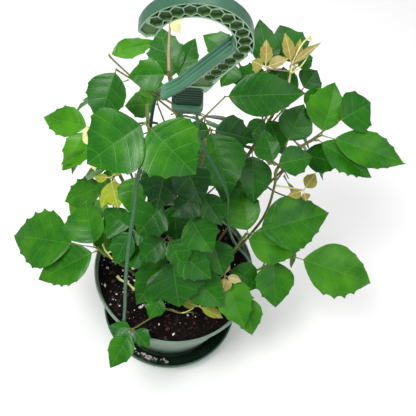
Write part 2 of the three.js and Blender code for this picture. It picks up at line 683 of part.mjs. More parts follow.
// One toothed leaflet in its leaf's plane, as the triangles of its upper face and its edge
// from the right of its stalk round the tip to the left. It is folded up along its midrib and
// arched down towards its tip. A side leaflet leans: its outer half is the wider one.
function leafletFace([turn, stalk, length, width, arch = LEAF_ARCH], lean) {
  const angle = radians(turn);
  const base = HUB_RADIUS + stalk;
  const lift = Math.tan(radians(LEAF_FOLD));
  const place = ([distance, side]) => {
    const share = Math.max(0, (distance - base) / length);
    return new THREE.Vector3(
      distance * Math.cos(angle) - side * Math.sin(angle),
      distance * Math.sin(angle) + side * Math.cos(angle),
      lift * Math.abs(side) - arch * length * share * share,
    );
  };
  const tip = [base + length, 0];
  const { edge: shape, midrib } = LEAFLET_EDGES.find(({ longest }) => length <= longest);
  const rib = [base, ...midrib.map((share) => base + share * length)];
  const onHub = [[HUB_RADIUS, -STALK_HALF_WIDTH], [HUB_RADIUS, STALK_HALF_WIDTH]];
  const triangles = [
    [onHub[0], [base, -STALK_HALF_WIDTH], [base, 0]],
    [onHub[0], [base, 0], onHub[1]],
    [onHub[1], [base, 0], [base, STALK_HALF_WIDTH]],
  ];
  const sides = {};
  for (const sign of [1, -1]) {
    const half = (width / 2) * (1 + sign * lean);
    const edge = [[base, sign * STALK_HALF_WIDTH]];
    for (const [share, out] of shape) edge.push([base + share * length, sign * out * half]);
    // Walk the midrib and the edge together, and always step to the nearer next stop.
    const walk = [];
    let i = 0;
    let j = 0;
    while (i < rib.length - 1 || j < edge.length - 1) {
      const nextRib = i < rib.length - 1 ? rib[i + 1] : Infinity;
      const nextEdge = j < edge.length - 1 ? edge[j + 1][0] : Infinity;
      if (nextEdge <= nextRib) walk.push([[rib[i], 0], edge[j], edge[++j]]);
      else walk.push([[rib[i], 0], edge[j], [rib[++i], 0]]);
    }
    walk.push([[rib[i], 0], edge[j], tip]);
    for (const corners of walk) triangles.push(sign > 0 ? corners.reverse() : corners);
    sides[sign] = edge;
  }
  const outline = [onHub[0], ...sides[-1], tip, ...sides[1].reverse(), onHub[1]];
  return { triangles: triangles.map((t) => t.map(place)), outline: outline.map(place) };
}

// The triangles between two rings of points that each have a growing list of angles and start
// at the same one.
function zipped(outer, outerAngles, inner, innerAngles) {
  const triangles = [];
  const after = (angles, k) => (k < angles.length - 1 ? angles[k + 1] : angles[0] + 360);
  let i = 0;
  let j = 0;
  while (i < outer.length || j < inner.length) {
    const nextOuter = i < outer.length ? after(outerAngles, i) : Infinity;
    const nextInner = j < inner.length ? after(innerAngles, j) : Infinity;
    const a = outer[i % outer.length];
    const b = inner[j % inner.length];
    if (nextOuter <= nextInner) triangles.push([b, outer[++i % outer.length], a]);
    else triangles.push([b, inner[++j % inner.length], a]);
  }
  return triangles;
}

// A triangular tube from `start` along a path, hung from a ring of corners round the start.
function petiole(ring, ringAngles, start, path, radius) {
  const turns = [0, 120, 240];
  const triangles = [];
  let upper = ring;
  let upperAngles = ringAngles.map((angle) => angle - ringAngles[0]);
  let across = ring[0].clone().sub(start);
  let before = start;
  path.forEach((point, k) => {
    const along = point.clone().sub(before).normalize();
    if (k < path.length - 1) along.add(path[k + 1].clone().sub(point).normalize()).normalize();
    before = point;
    across = across.addScaledVector(along, -across.dot(along)).normalize();
    const beside = across.clone().cross(along);
    const lower = turns.map((turn) => {
      const corner = point.clone().addScaledVector(across, radius * Math.cos(radians(turn)));
      return corner.addScaledVector(beside, radius * Math.sin(radians(turn)));
    });
    triangles.push(...zipped(upper, upperAngles, lower, turns));
    [upper, upperAngles] = [lower, turns];
  });
  triangles.push([upper[2], upper[1], upper[0]]);
  return triangles;
}

// A whole leaf as one solid: its leaflets round a small hub, with the same triangles on the
// upper and the lower face and a wall along the edge, and the petiole from under the hub to
// `root`. The first leaflet is the end one.
function leafSolid({ joint, face, leaflets }, root, stemRadius) {
  const [end] = leaflets;
  const order = [...leaflets].sort((a, b) => a[0] - b[0]);
  const triangles = [];
  const outline = [];
  const hub = [];
  const onHub = (angle) => {
    const turn = radians(angle);
    return new THREE.Vector3(HUB_RADIUS * Math.cos(turn), HUB_RADIUS * Math.sin(turn), 0);
  };
  order.forEach((spec, index) => {
    const lean = SIDE_LEAN * Math.sign(Math.sin(radians(spec[0] - end[0])));
    const flat = leafletFace(spec, lean);
    triangles.push(...flat.triangles);
    outline.push(...flat.outline);
    hub.push(flat.outline[0], flat.outline.at(-1));
    const next = index < order.length - 1 ? order[index + 1][0] : order[0][0] + 360;
    const gap = next - spec[0];
    const extra = Math.ceil(gap / WIDEST_HUB_GAP) - 1;
    for (let k = 1; k <= extra; k++) {
      const corner = onHub(spec[0] + (gap * k) / (extra + 1));
      outline.push(corner);
      hub.push(corner);
    }
  });

  const frame = leafFrame(face);
  const origin = vector(joint);
  const raised = ({ x, y, z }) => {
    const point = origin.clone().addScaledVector(frame.downhill, x);
    return point.addScaledVector(frame.level, y).addScaledVector(frame.normal, z);
  };
  const sunken = (point) => raised(point).addScaledVector(frame.normal, -LEAF_THICKNESS);
  const faces = triangles.flatMap((t) => [t.map(raised), t.map(sunken).reverse()]);
  hub.forEach((corner, k) => faces.push([origin, raised(corner), raised(hub[(k + 1) % hub.length])]));
  outline.forEach((a, k) => {
    const b = outline[(k + 1) % outline.length];
    faces.push([raised(a), sunken(a), sunken(b)], [raised(a), sunken(b), raised(b)]);
  });

  const ring = hub.map(sunken);
  const ringAngles = [];
  for (const { x, y } of hub) {
    const angle = THREE.MathUtils.radToDeg(Math.atan2(y, x));
    const turns = ringAngles.length ? Math.ceil((ringAngles.at(-1) - angle) / 360) : 0;
    ringAngles.push(angle + 360 * turns);
  }
  const under = origin.clone().addScaledVector(frame.normal, -LEAF_THICKNESS - PETIOLE_DROP);
  const span = under.distanceTo(root);
  const path = [under, root];
  if (span > SHORT_PETIOLE) {
    const middle = under.clone().lerp(root, 0.5);
    middle.addScaledVector(frame.normal, -PETIOLE_BOW * span);
    path.splice(1, 0, middle);
  }
  faces.push(...petiole(ring, ringAngles, origin, path, PETIOLE_SHARE * stemRadius));
  return solidOf(faces.flat());
}

// Where a stem stands in the soil its first point is where it comes out, and it runs straight
// down from there into its hole.
function stemPoints(stem) {
  const [x, y, z] = stem[0];
  if (z > STEM_FREE) return stem;
  return [[x, y, SOIL_EDGE_TOP - STEM_HOLE_DEPTH], [x, y, SOIL_EDGE_TOP - 4], ...stem];
}

// A stem and its leaves in one solid.
function leafyStem({ name, radius, stem, leaves }, material) {
  const points = stemPoints(stem);
  const path = new THREE.CatmullRomCurve3(points.map(vector), false, "centripetal");
  const steps = points.length + STEM_EXTRA_STEPS;
  const stops = path.getSpacedPoints(steps);
  const pieces = [rod(points, polygon(radius, STEM_SIDES), steps)];
  for (const spec of leaves) {
    const stop = Math.min(Math.floor(spec.from * steps), steps - 1);
    const root = stops[stop].clone().lerp(stops[stop + 1], spec.from * steps - stop);
    pieces.push(leafSolid(spec, root, radius));
  }
  return part(name, joined(pieces), material);
}

function rootedPlants() {
  return [...VINES, ...YOUNG_SHOOTS].filter(({ stem }) => stem[0][2] <= STEM_FREE);
}

// ---- The whole ---------------------------------------------------------------------------

const plant = new THREE.Group();
plant.add(saucer(), pot(), soil(), hangerHook());
for (const name of Object.keys(STRAP_ROUTES)) plant.add(strap(name));
for (const vine of VINES) plant.add(leafyStem(vine, LEAF_GREEN));
for (const shoot of YOUNG_SHOOTS) plant.add(leafyStem(shoot, YOUNG_GOLD));

export default plant;
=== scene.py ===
"""A grape ivy in a hanging pot, with its saucer, potting mix, hook and straps.

Lengths in the tables below are millimetres, and a finished mesh is in metres. The origin is
the centre of the saucer's underside, +Z is up and the front of the plant looks along -Y.
"""

import math
import random

import bmesh
import bpy
from bpy.props import (
    FloatProperty,
    FloatVectorProperty,
    IntProperty,
    PointerProperty,
)
from mathutils import Matrix, Vector, noise
from mathutils.geometry import interpolate_bezier


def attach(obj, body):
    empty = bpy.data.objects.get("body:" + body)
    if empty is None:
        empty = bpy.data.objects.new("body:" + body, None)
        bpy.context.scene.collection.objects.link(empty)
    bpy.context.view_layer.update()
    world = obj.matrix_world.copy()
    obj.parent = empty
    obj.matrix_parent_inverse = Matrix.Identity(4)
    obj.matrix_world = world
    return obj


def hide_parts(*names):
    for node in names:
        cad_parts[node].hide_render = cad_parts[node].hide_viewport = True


bl_info = {
    "name": "Grape Ivy in a Hanging Pot",
    "version": (1, 0, 0),
    "blender": (4, 5, 0),
    "location": "View3D > Sidebar > Grape Ivy",
    "description": "Makes a potted grape ivy with its hanger, piece by piece",
    "category": "Add Mesh",
}

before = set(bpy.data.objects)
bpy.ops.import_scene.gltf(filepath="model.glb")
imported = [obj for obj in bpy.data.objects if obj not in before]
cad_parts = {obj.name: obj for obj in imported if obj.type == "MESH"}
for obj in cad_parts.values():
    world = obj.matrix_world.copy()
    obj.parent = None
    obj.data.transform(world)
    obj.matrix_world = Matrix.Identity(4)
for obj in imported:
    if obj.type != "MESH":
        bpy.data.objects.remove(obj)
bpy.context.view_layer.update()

MM = 0.001
TURN = 2 * math.pi

# ---- Where things are ---------------------------------------------------------------------

GAP = 0.3
RIM_RADIUS = 101.6
RIM_TOP = 150
LIP_HEIGHT = 7
LIP_DEPTH = 2.6
POT_FOOT_RADIUS = 70
POT_WALL = 2.2
SAUCER_FOOT_RADIUS = 73
SAUCER_RIM_RADIUS = 94.7
SAUCER_HEIGHT = 30
SAUCER_WALL = 2.4
SAUCER_FLOOR = 3
SOIL_EDGE_TOP = 141.5
SOIL_CROWN = 5

HANGER_AT = (-7, 0, 450)
HANGER_LEAN = 10
HANGER_TURN = 10
HOOK_RISE = 80
HOOK_OUTER = 41
HOOK_INNER = 28
HOOK_THICKNESS = 11
HOOK_TIP_ANGLE = 166
HOOK_NECK_ANGLE = -4
BLOCK_WIDTH = 26
BLOCK_DEPTH = 15
PLATE_DEPTH = 20
BLOCK_HEIGHT = 30
BLOCK_RIBS = 7
RIB_BASE = 6.2
RIB_STEP = 3.3
RIB_HEIGHT = 2.4
RIB_INSET = 1.2
CORE_INSET = 1.9

STRAP_WIDTH = 4
STRAP_THICKNESS = 2
# A quarter of the band's section, in halves of its width and of its thickness.
STRAP_QUARTER = ((1, 0.5), (0.86, 1), (0.5, 0.8))
STRAP_LANDING = (169, 157, 146.6)
STRAP_FOOT = dict(width=9, height=9, thickness=2, base=143.6, radius=97.8)
STUD_RADIUS = 1.7
STUD_HEIGHT = 146.4
STRAP_ANGLES = dict(front_left=-117, right=3, back=123)
# Each strap's route from the block down, as (distance from the block's axis, azimuth, height).
STRAP_ROUTES = dict(
    front_left=[
        (8, -117, 447.9), (8.6, -118, 441), (28, -130, 417), (46, -132, 394), (59, -125, 345),
        (72, -120, 300), (85, -115.6, 240), (91, -113.6, 196),
    ],
    right=[
        (8, 2.8, 449.2), (9, 2.8, 440), (14, 2.8, 408), (25, 2.8, 384), (36, 2.8, 360),
        (51, 2.8, 326), (55, 2.8, 298), (60, 2.8, 266), (72, 2.8, 232), (92, 2.8, 200),
    ],
    back=[
        (8, 119, 450.4), (9, 119, 443), (32, 119, 434), (55, 119, 412), (78, 119, 383),
        (90, 119, 350), (97, 119.4, 300), (97, 119.6, 240),
    ],
)

LEAF_FOLD = 14
LEAF_ARCH = 0.16
HUB_RADIUS = 1.3
SIDE_LEAN = 0.25
PETIOLE_DROP = 3.2
PETIOLE_SAG = 0.08
STEM_FREE = 150

# ---- The plants ---------------------------------------------------------------------------
#
# A leaf hangs on a petiole that leaves the stem at the share `start` of its length and ends
# at `joint`. Its upper side looks to `face`: an azimuth from +X, and a tilt from +Z. A leaflet
# is [turn, stalk, length, width, arch], where turn is its direction in the leaf's plane. A
# plant's tone says how dark its leaves are, from 0, dark, to 1, bright. It is partly their age,
# old and dark to new and bright, and partly painted light: low tones are painted shade on the
# vines in the middle, and high tones painted light on the front-lit ones.


def leaf(start, joint, face, *leaflets):
    return dict(start=start, joint=joint, face=face, leaflets=leaflets)


def trio(start, joint, face, size, turn=0, spread=76):
    """The usual grape ivy leaf: a leaflet on a longer stalk with one at either side."""
    side = [2, size * 0.86, size * 0.6]
    end = [turn, size * 0.16, size, size * 0.66]
    return leaf(start, joint, face, end, [turn - spread, *side], [turn + spread, *side])


VINES = [
    dict(
        name="vine_left", radius=1.6, tone=0.68,
        stem=[[-44, -24, 150], [-50, -30, 172], [-64, -36, 204], [-77, -39, 222], [-86, -39, 234]],
        leaves=[
            leaf(1, [-88, -42, 240], [-125, 30], [-57, 26, 86, 62], [-121, 3, 54, 46]),
            leaf(0.96, [-86, -44, 235], [-125, 30], [-25, 3, 75, 44]),
            leaf(0.6, [-92, 10, 216], [-135, 35], [-62, 3, 58, 38], [50, 3, 42, 34]),
            leaf(0.55, [-98, 43, 236], [-125, 35], [-34, 2, 58, 35]),
        ],
    ),
    dict(
        name="vine_upper_left", radius=1.5, tone=0.8,
        stem=[[-34, 8, 150], [-42, 14, 205], [-64, 22, 262], [-84, 26, 312], [-96, 24, 338], [-99, 18, 348]],
        leaves=[
            leaf(0.85, [-106, 34, 350], [-125, 30], [-65, 3, 57, 30], [4, 5, 46, 31]),
            leaf(0.8, [-101, 14, 342], [-60, 65], [-68, 2, 30, 12]),
            trio(0.55, [-88, 50, 272], [175, 40], 46),
            trio(0.4, [-78, 6, 250], [-150, 45], 38, -30),
        ],
    ),
    dict(
        name="vine_centre_left", radius=1.5, tone=0.56,
        stem=[[-20, 4, 150], [-26, 12, 220], [-34, 26, 300], [-46, 36, 360], [-47, 28, 398], [-43, 12, 424]],
        leaves=[
            leaf(1, [-32.3, -38.3, 457], [-95, 33], [60, 2, 50, 50]),
            leaf(0.98, [-34, -38.3, 459], [-95, 33], [-42, 2, 54, 52]),
            leaf(0.56, [-58, 50, 316], [150, 45], [10, 6, 40, 28], [-66, 2, 34, 24]),
            leaf(0.5, [-54, 12, 316], [-100, 33], [10, 2, 38, 30]),
        ],
    ),
    dict(
        name="vine_tall", radius=1.6, tone=0.5,
        stem=[[-8, 30, 150], [-12, 40, 230], [-16, 50, 320], [-24, 54, 390], [-31, 50, 424], [-32, 50, 432]],
        leaves=[
            leaf(0.8, [-30, 66, 404], [-90, 40], [-155, 3, 50, 33]),
            leaf(0.9, [-33, 62, 416], [-90, 40], [-78, 3, 36, 28]),
            leaf(0.83, [-26, 66, 406], [-90, 40], [168, 3, 40, 22]),
            leaf(0.84, [-87, 71, 400], [-110, 35], [6, 2, 52, 40]),
            leaf(0.8, [-96, 80, 408], [-90, 25], [122, 1, 47, 19]),
            leaf(0.58, [-49, 92, 340], [-100, 30], [-69, 2, 33, 29], [-158, 2, 26, 29]),
            trio(0.6, [4, 96, 320], [80, 40], 42, -20),
        ],
    ),
    dict(
        name="vine_top_right", radius=1.7, tone=0.42,
        stem=[[30, 26, 150], [40, 44, 215], [56, 72, 290], [74, 98, 344], [83, 108, 376]],
        leaves=[
            leaf(0.8, [61, 122, 390], [-80, 35], [-168, 2, 52, 29], [-75, 3, 38, 27]),
            leaf(0.88, [88, 136, 388], [-70, 35], [-168, 5, 42, 40], [116, 3, 20, 22]),
            leaf(0.78, [102, 132, 362], [-70, 30], [136, 3, 27, 28], [49, 3, 26, 24], [-128, 3, 40, 30]),
            leaf(0.9, [25, 119, 402], [-80, 35], [-121, 3, 36, 26], [-24, 6, 26, 20]),
            leaf(0.8, [69, 93, 352], [-80, 35], [31, 3, 41, 27], [-38, 3, 32, 25]),
            leaf(0.64, [62, 68, 322], [-80, 33], [6, 4, 50, 38]),
            trio(0.72, [98, 130, 316], [40, 45], 44),
        ],
    ),
    dict(
        name="vine_neck", radius=1.3, tone=0.48,
        stem=[[-2, 16, 150], [-3, 26, 240], [-6, 44, 330], [2, 42, 380], [5, 38, 391]],
        leaves=[leaf(1, [22, 52, 412], [-90, 40], [104, 2, 73, 38])],
    ),
    dict(
        name="vine_right", radius=1.6, tone=0.5,
        stem=[
            [62, 18, 150], [78, 28, 192], [94, 40, 245], [94, 46, 300], [90, 42, 334], [104, 60, 346],
            [124, 78, 352],
        ],
        leaves=[
            leaf(1, [128, 76, 360], [-75, 30], [73, 13, 87, 36], [160, 3, 58, 38]),
            leaf(0.98, [126, 73, 355], [-75, 30], [56, 3, 67, 29]),
            leaf(0.97, [142, 90, 370], [-70, 35], [113, 2, 43, 42]),
            leaf(0.86, [93, 57, 357], [-80, 32], [158, 3, 43, 35]),
            leaf(0.82, [85, 36, 347], [-80, 32], [105, 3, 38, 29], [-162, 3, 34, 25]),
            leaf(0.69, [113, 74, 326], [-75, 32], [78, 3, 48, 30]),
        ],
    ),
    dict(
        name="vine_front_right", radius=1.5, tone=0.72,
        stem=[[42, -10, 150], [52, -10, 184], [64, -6, 222], [75, 4, 256]],
        leaves=[
            leaf(1, [76, 0, 262], [-80, 30], [107, 14, 85, 57], [-172, 3, 58, 41]),
            leaf(0.96, [74, -3, 257], [-80, 30], [80, 3, 62, 42]),
        ],
    ),
    dict(
        name="vine_lower_right", radius=1.4, tone=0.62,
        stem=[[68, -14, 150], [84, -12, 176], [104, -8, 206], [116, -6, 224]],
        leaves=[
            leaf(1, [136, -2, 236], [-70, 28], [66, 9, 96, 57]),
            leaf(0.85, [114, 2, 216], [-85, 30], [11, 2, 56, 43]),
            trio(0.8, [126, 38, 214], [15, 50], 42, 10),
        ],
    ),
    dict(
        name="vine_low_right", radius=1.4, tone=0.62,
        stem=[[36, -34, 150], [40, -32, 166], [50, -26, 184], [57, -24, 192]],
        leaves=[
            leaf(0.8, [62, -14, 200], [-80, 30], [63, 5, 42, 36]),
            leaf(0.85, [58, -18, 200], [-80, 26], [24, 8, 65, 41]),
            leaf(0.6, [88, -32, 176], [-70, 30], [10, 3, 50, 33]),
        ],
    ),
    dict(
        name="vine_front", radius=1.5, tone=0.38,
        stem=[[-8, -30, 150], [-10, -26, 184], [-8, -20, 222], [-6, -22, 258]],
        leaves=[
            leaf(1, [-10, -25, 266], [-95, 30], [-33, 3, 38, 28], [42, 4, 36, 27]),
            leaf(0.9, [-30, -24, 250], [-100, 32], [-30, 3, 42, 35]),
            leaf(0.96, [-1, -33, 258], [-85, 30], [57, 3, 49, 35]),
            leaf(0.78, [-2, -29, 228], [-90, 32], [19, 5, 52, 60]),
            leaf(0.76, [-6, -27, 224], [-92, 34], [-21, 3, 65, 39]),
            leaf(0.5, [-6, -60, 190], [-95, 28], [-12, 2, 28, 22]),
            leaf(0.6, [18, -34, 212], [-88, 30], [54, 2, 56, 40]),
        ],
    ),
    dict(
        name="vine_sprig", radius=1.1, tone=0.52,
        stem=[
            [34, -58, 150], [30, -60, 155], [19, -64, 157], [0, -64, 157], [-14, -78, 158],
            [-30, -95, 160],
        ],
        leaves=[leaf(1, [-31, -98, 166], [-100, 25], [-10, 5, 46, 28], [-75, 2, 26, 17], [60, 2, 26, 18])],
    ),
    # This vine in the middle has the lowest tone, which is painted shade.
    dict(
        name="vine_centre", radius=1.6, tone=0.27,
        stem=[[4, -6, 150], [8, 0, 220], [10, 6, 290], [12, 14, 340], [12, 20, 384]],
        leaves=[
            leaf(0.7, [12.8, 60, 355], [-85, 30], [23, 4, 67, 52, 0.03]),
            leaf(0.66, [15, 66, 346], [-85, 30], [86, 2, 42, 36], [-78, 2, 32, 26]),
            leaf(0.97, [-2, 24, 386], [-90, 33], [7, 3, 24, 20]),
            leaf(0.6, [46, 38, 322], [-85, 33], [-10, 3, 32, 27]),
            leaf(0.86, [-20, 7, 365], [-95, 33], [2, 2, 52, 40]),
            leaf(0.9, [-6, 2, 370], [-90, 33], [35, 2, 43, 35]),
            leaf(0.75, [15, -2, 330], [-88, 33], [43, 3, 38, 26], [-38, 3, 34, 28]),
            leaf(0.66, [9, -18, 304], [-88, 33], [42, 2, 42, 38]),
            leaf(0.7, [-17, -15, 316], [-95, 33], [-26, 3, 40, 38]),
            leaf(0.45, [-11, 16, 272], [-90, 33], [15, 2, 45, 34]),
            leaf(0.42, [38, -8, 252], [-86, 33], [24, 2, 42, 36]),
        ],
    ),
    dict(
        name="vine_strap_side", radius=1.3, tone=0.32,
        stem=[[-48, 0, 150], [-52, 0, 200], [-58, 4, 250], [-68, 10, 284], [-73, 11, 291]],
        leaves=[leaf(0.65, [-50, -22, 262], [-110, 35], [0, 3, 41, 27], [-94, 2, 38, 34], [77, 3, 31, 23])],
    ),
    dict(
        name="vine_back_left", radius=1.6, tone=0.4,
        stem=[[-40, 40, 150], [-46, 46, 168], [-64, 66, 200], [-92, 92, 256], [-110, 108, 306]],
        leaves=[
            trio(1, [-116, 116, 316], [145, 45], 46),
            trio(0.78, [-126, 76, 270], [170, 50], 46),
            trio(0.75, [-84, 122, 262], [115, 50], 46),
        ],
    ),
    dict(
        name="vine_back", radius=1.6, tone=0.35,
        stem=[[0, 62, 150], [2, 92, 196], [2, 118, 234], [2, 134, 270]],
        leaves=[
            trio(1, [2, 142, 280], [90, 42], 48),
            trio(0.8, [-38, 136, 250], [110, 48], 44),
            trio(0.74, [42, 134, 240], [70, 48], 44),
        ],
    ),
    dict(
        name="vine_back_right", radius=1.6, tone=0.4,
        stem=[[48, 44, 150], [54, 52, 168], [72, 74, 196], [98, 94, 244], [116, 104, 280]],
        leaves=[
            trio(1, [124, 112, 288], [45, 45], 44),
            trio(0.7, [84, 128, 244], [65, 52], 44),
            trio(0.7, [126, 82, 236], [20, 52], 42),
        ],
    ),
]

YOUNG_SHOOTS = [
    dict(
        name="young_left", radius=1.1, tone=0.2,
        stem=[[-99.3, 17.1, 349.3], [-97, 12, 350.5], [-94, 7.5, 351]],
        leaves=[leaf(1, [-96, 4, 356], [-125, 35], [-120, 2, 22, 12], [49, 2, 19, 12])],
    ),
    dict(
        name="young_tall", radius=1.2, tone=0.05,
        stem=[[-32, 50, 432.6], [-35, 60, 450], [-37, 71, 469]],
        leaves=[leaf(1, [-37, 67, 474], [-90, 45], [120, 1, 13, 9], [50, 1, 12, 8], [-170, 1, 10, 7])],
    ),
    dict(
        name="young_top_right", radius=1.2, tone=0.5,
        stem=[[83.3, 108.4, 376.9], [84, 118, 387], [82, 128, 397]],
        leaves=[
            leaf(0.8, [56, 106, 408], [-80, 40], [-178, 2, 24, 12], [-112, 2, 12, 14], [115, 2, 22, 10]),
            leaf(1, [82, 123, 403], [-80, 40], [-165, 3, 28, 12], [130, 3, 34, 7]),
            leaf(0.8, [86, 122, 398], [-80, 40], [171, 3, 28, 10]),
        ],
    ),
    dict(
        name="young_strap", radius=1, tone=0.9,
        stem=[[-73.6, 11.2, 291.7], [-76, 14, 293], [-79.8, 15.5, 295.5]],
        leaves=[
            leaf(1, [-81, 12, 301], [-110, 33], [41, 3, 29, 25], [159, 2, 14, 12], [-66, 2, 17, 9]),
            leaf(0.5, [-79, 10, 297], [-110, 36], [2, 9, 21, 10]),
        ],
    ),
    dict(
        name="young_right", radius=1, tone=0.6,
        stem=[[96.2, 46, 299], [108, 48, 297], [124.5, 49, 296]],
        leaves=[leaf(1, [126, 45, 302], [-80, 35], [146, 2, 20, 15], [-68, 2, 15, 10], [16, 2, 9, 9])],
    ),
    dict(
        name="young_front", radius=1, tone=0.3,
        stem=[[57.5, -23.9, 192.6], [59.5, -24, 196], [61.5, -24.6, 200.5]],
        leaves=[leaf(1, [62, -28, 206], [-80, 30], [73, 2, 18, 10], [-5, 2, 17, 14], [174, 2, 16, 12])],
    ),
    dict(
        name="young_soil", radius=1, tone=0.8,
        stem=[[42, -47, 150], [41.5, -47.5, 152.5], [40, -49.5, 155.8]],
        leaves=[leaf(1, [40, -53, 161], [-90, 30], [-94, 2, 22, 11], [74, 2, 29, 13], [150, 2, 18, 10])],
    ),
]

# Leaves that are brighter or darker than the rest of their vine, as the vine and its leaf.
OWN_TONES = {("vine_tall", 4): 1, ("vine_centre_left", 0): 0.46, ("vine_centre_left", 1): 0.56}

SPIN_STEPS = 144


# ---- Tools for shapes ---------------------------------------------------------------------


def empty_shape():
    """A bare bmesh with the layers that every piece has, so that pieces can be joined."""
    shape = bmesh.new()
    shape.loops.layers.uv.new("UVMap")
    shape.verts.layers.float.new("tone")
    return shape


def give_tone(shape, tone):
    """Gives a whole bmesh one tone, which its finish reads."""
    layer = shape.verts.layers.float["tone"]
    for vert in shape.verts:
        vert[layer] = tone


def join_into(whole, piece, finish=None):
    """Adds a small bmesh to a big one and frees it. Where a finish is given, by its place in
    the list of the big one's finishes, all of the small one gets it."""
    if finish is not None:
        for face in piece.faces:
            face.material_index = finish
    carrier = bpy.data.meshes.new("carrier")
    piece.to_mesh(carrier)
    piece.free()
    whole.from_mesh(carrier)
    bpy.data.meshes.remove(carrier)


def finish_piece(shape, name, finishes, nodes=(), sharp=35):
    """Turns a bmesh in millimetres into the finished object, on its body, and hides the nodes it replaces."""
    bmesh.ops.scale(shape, vec=(MM, MM, MM), verts=shape.verts)
    mesh = bpy.data.meshes.new(name)
    shape.to_mesh(mesh)
    shape.free()
    for finish in finishes:
        mesh.materials.append(finish)
    mesh.shade_smooth()
    mesh.set_sharp_from_angle(angle=math.radians(sharp))
    piece = bpy.data.objects.new(name, mesh)
    bpy.context.scene.collection.objects.link(piece)
    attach(piece, "root")
    if nodes:
        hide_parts(*nodes)


def smooth_path(points, steps):
    """A centripetal Catmull-Rom curve through the points, as `steps` points to each span."""
    points = [Vector(p) for p in points]
    first = points[0] * 2 - points[1]
    last = points[-1] * 2 - points[-2]
    held = [first, *points, last]
    path = []
    for k in range(1, len(held) - 2):
        p0, p1, p2, p3 = held[k - 1 : k + 3]
        d1, d2, d3 = (max(1e-6, (b - a).length ** 0.5) for a, b in ((p0, p1), (p1, p2), (p2, p3)))
        into = (p1 - p0) / d1 - (p2 - p0) / (d1 + d2) + (p2 - p1) / d2
        away = (p2 - p1) / d2 - (p3 - p1) / (d2 + d3) + (p3 - p2) / d3
        left = p1 + into * d2 / 3
        right = p2 - away * d2 / 3
        span = interpolate_bezier(p1, left, right, p2, steps + 1)
        path += span if not path else span[1:]
    return path


def point_at(path, share):
    """The point at a share of a path's length."""
    lengths = [(b - a).length for a, b in zip(path, path[1:])]
    left = share * sum(lengths)
    for start, stop, length in zip(path, path[1:], lengths):
        if left <= length:
            return start.lerp(stop, left / max(length, 1e-9))
        left -= length
    return path[-1].copy()


def tangent_at(path, k):
    """The way a path runs at one of its points."""
    return (path[min(k + 1, len(path) - 1)] - path[max(k - 1, 0)]).normalized()


def only(kind, geometry):
    """The vertices or the edges among what an operator gives back."""
    return [item for item in geometry if isinstance(item, kind)]


def sweep(shape, stations):
    """Carries a flat closed outline, which is all that the bmesh holds, through its stations
    and closes both ends. A station is a point and the ways that x and y take there."""
    ring, edges = list(shape.verts), list(shape.edges)
    flat = [vert.co.copy() for vert in ring]
    for k, (point, across, beside) in enumerate(stations):
        if k:
            grown = bmesh.ops.extrude_edge_only(shape, edges=edges)["geom"]
            fresh = set(only(bmesh.types.BMVert, grown))
            ring = [next(e.other_vert(v) for e in v.link_edges if e.other_vert(v) in fresh) for v in ring]
            edges = only(bmesh.types.BMEdge, grown)
        for vert, spot in zip(ring, flat):
            vert.co = point + across * spot.x + beside * spot.y
    bmesh.ops.holes_fill(shape, edges=[e for e in shape.edges if e.is_boundary], sides=len(flat))
    bmesh.ops.recalc_face_normals(shape, faces=shape.faces)


def tube(path, radii, sides, tone=0.5):
    """A closed tube along a path, with one radius for each of its points."""
    shape = empty_shape()
    bmesh.ops.create_circle(shape, cap_ends=False, radius=1, segments=sides)
    bmesh.ops.rotate(shape, verts=shape.verts, matrix=Matrix.Rotation(TURN / sides / 2, 3, "Z"))
    stations = []
    across = tangent_at(path, 0).orthogonal()
    for k, radius in enumerate(radii):
        tangent = tangent_at(path, k)
        across = (across - tangent * across.dot(tangent)).normalized()
        stations.append((path[k], across * radius, tangent.cross(across) * radius))
    sweep(shape, stations)
    give_tone(shape, tone)
    return shape


def turned(profile):
    """A profile of (radius, height) pairs turned about +Z."""
    shape = empty_shape()
    verts = [shape.verts.new((radius, 0, height)) for radius, height in profile]
    for a, b in zip(verts, verts[1:]):
        shape.edges.new((a, b))
    bmesh.ops.spin(
        shape, geom=[*shape.verts, *shape.edges], angle=TURN, steps=SPIN_STEPS, axis=(0, 0, 1),
        cent=(0, 0, 0), use_merge=True, use_duplicate=False,
    )
    bmesh.ops.remove_doubles(shape, verts=shape.verts, dist=0.001)
    bmesh.ops.recalc_face_normals(shape, faces=shape.faces)
    return shape


def bevel_edges(shape, edges, width, segments):
    """Rounds the edges that are given."""
    bmesh.ops.bevel(
        shape, geom=edges, offset=width, offset_type="OFFSET", affect="EDGES",
        segments=segments, profile=0.5, material=-1, clamp_overlap=True,
    )


def round_off(shape, width, angle=25, segments=3):
    """Rounds the edges that are sharper than an angle."""
    sharp = [
        e for e in shape.edges
        if len(e.link_faces) == 2 and e.calc_face_angle(0) > math.radians(angle)
    ]
    bevel_edges(shape, sharp, width, segments)


# ---- Tools for finishes -------------------------------------------------------------------


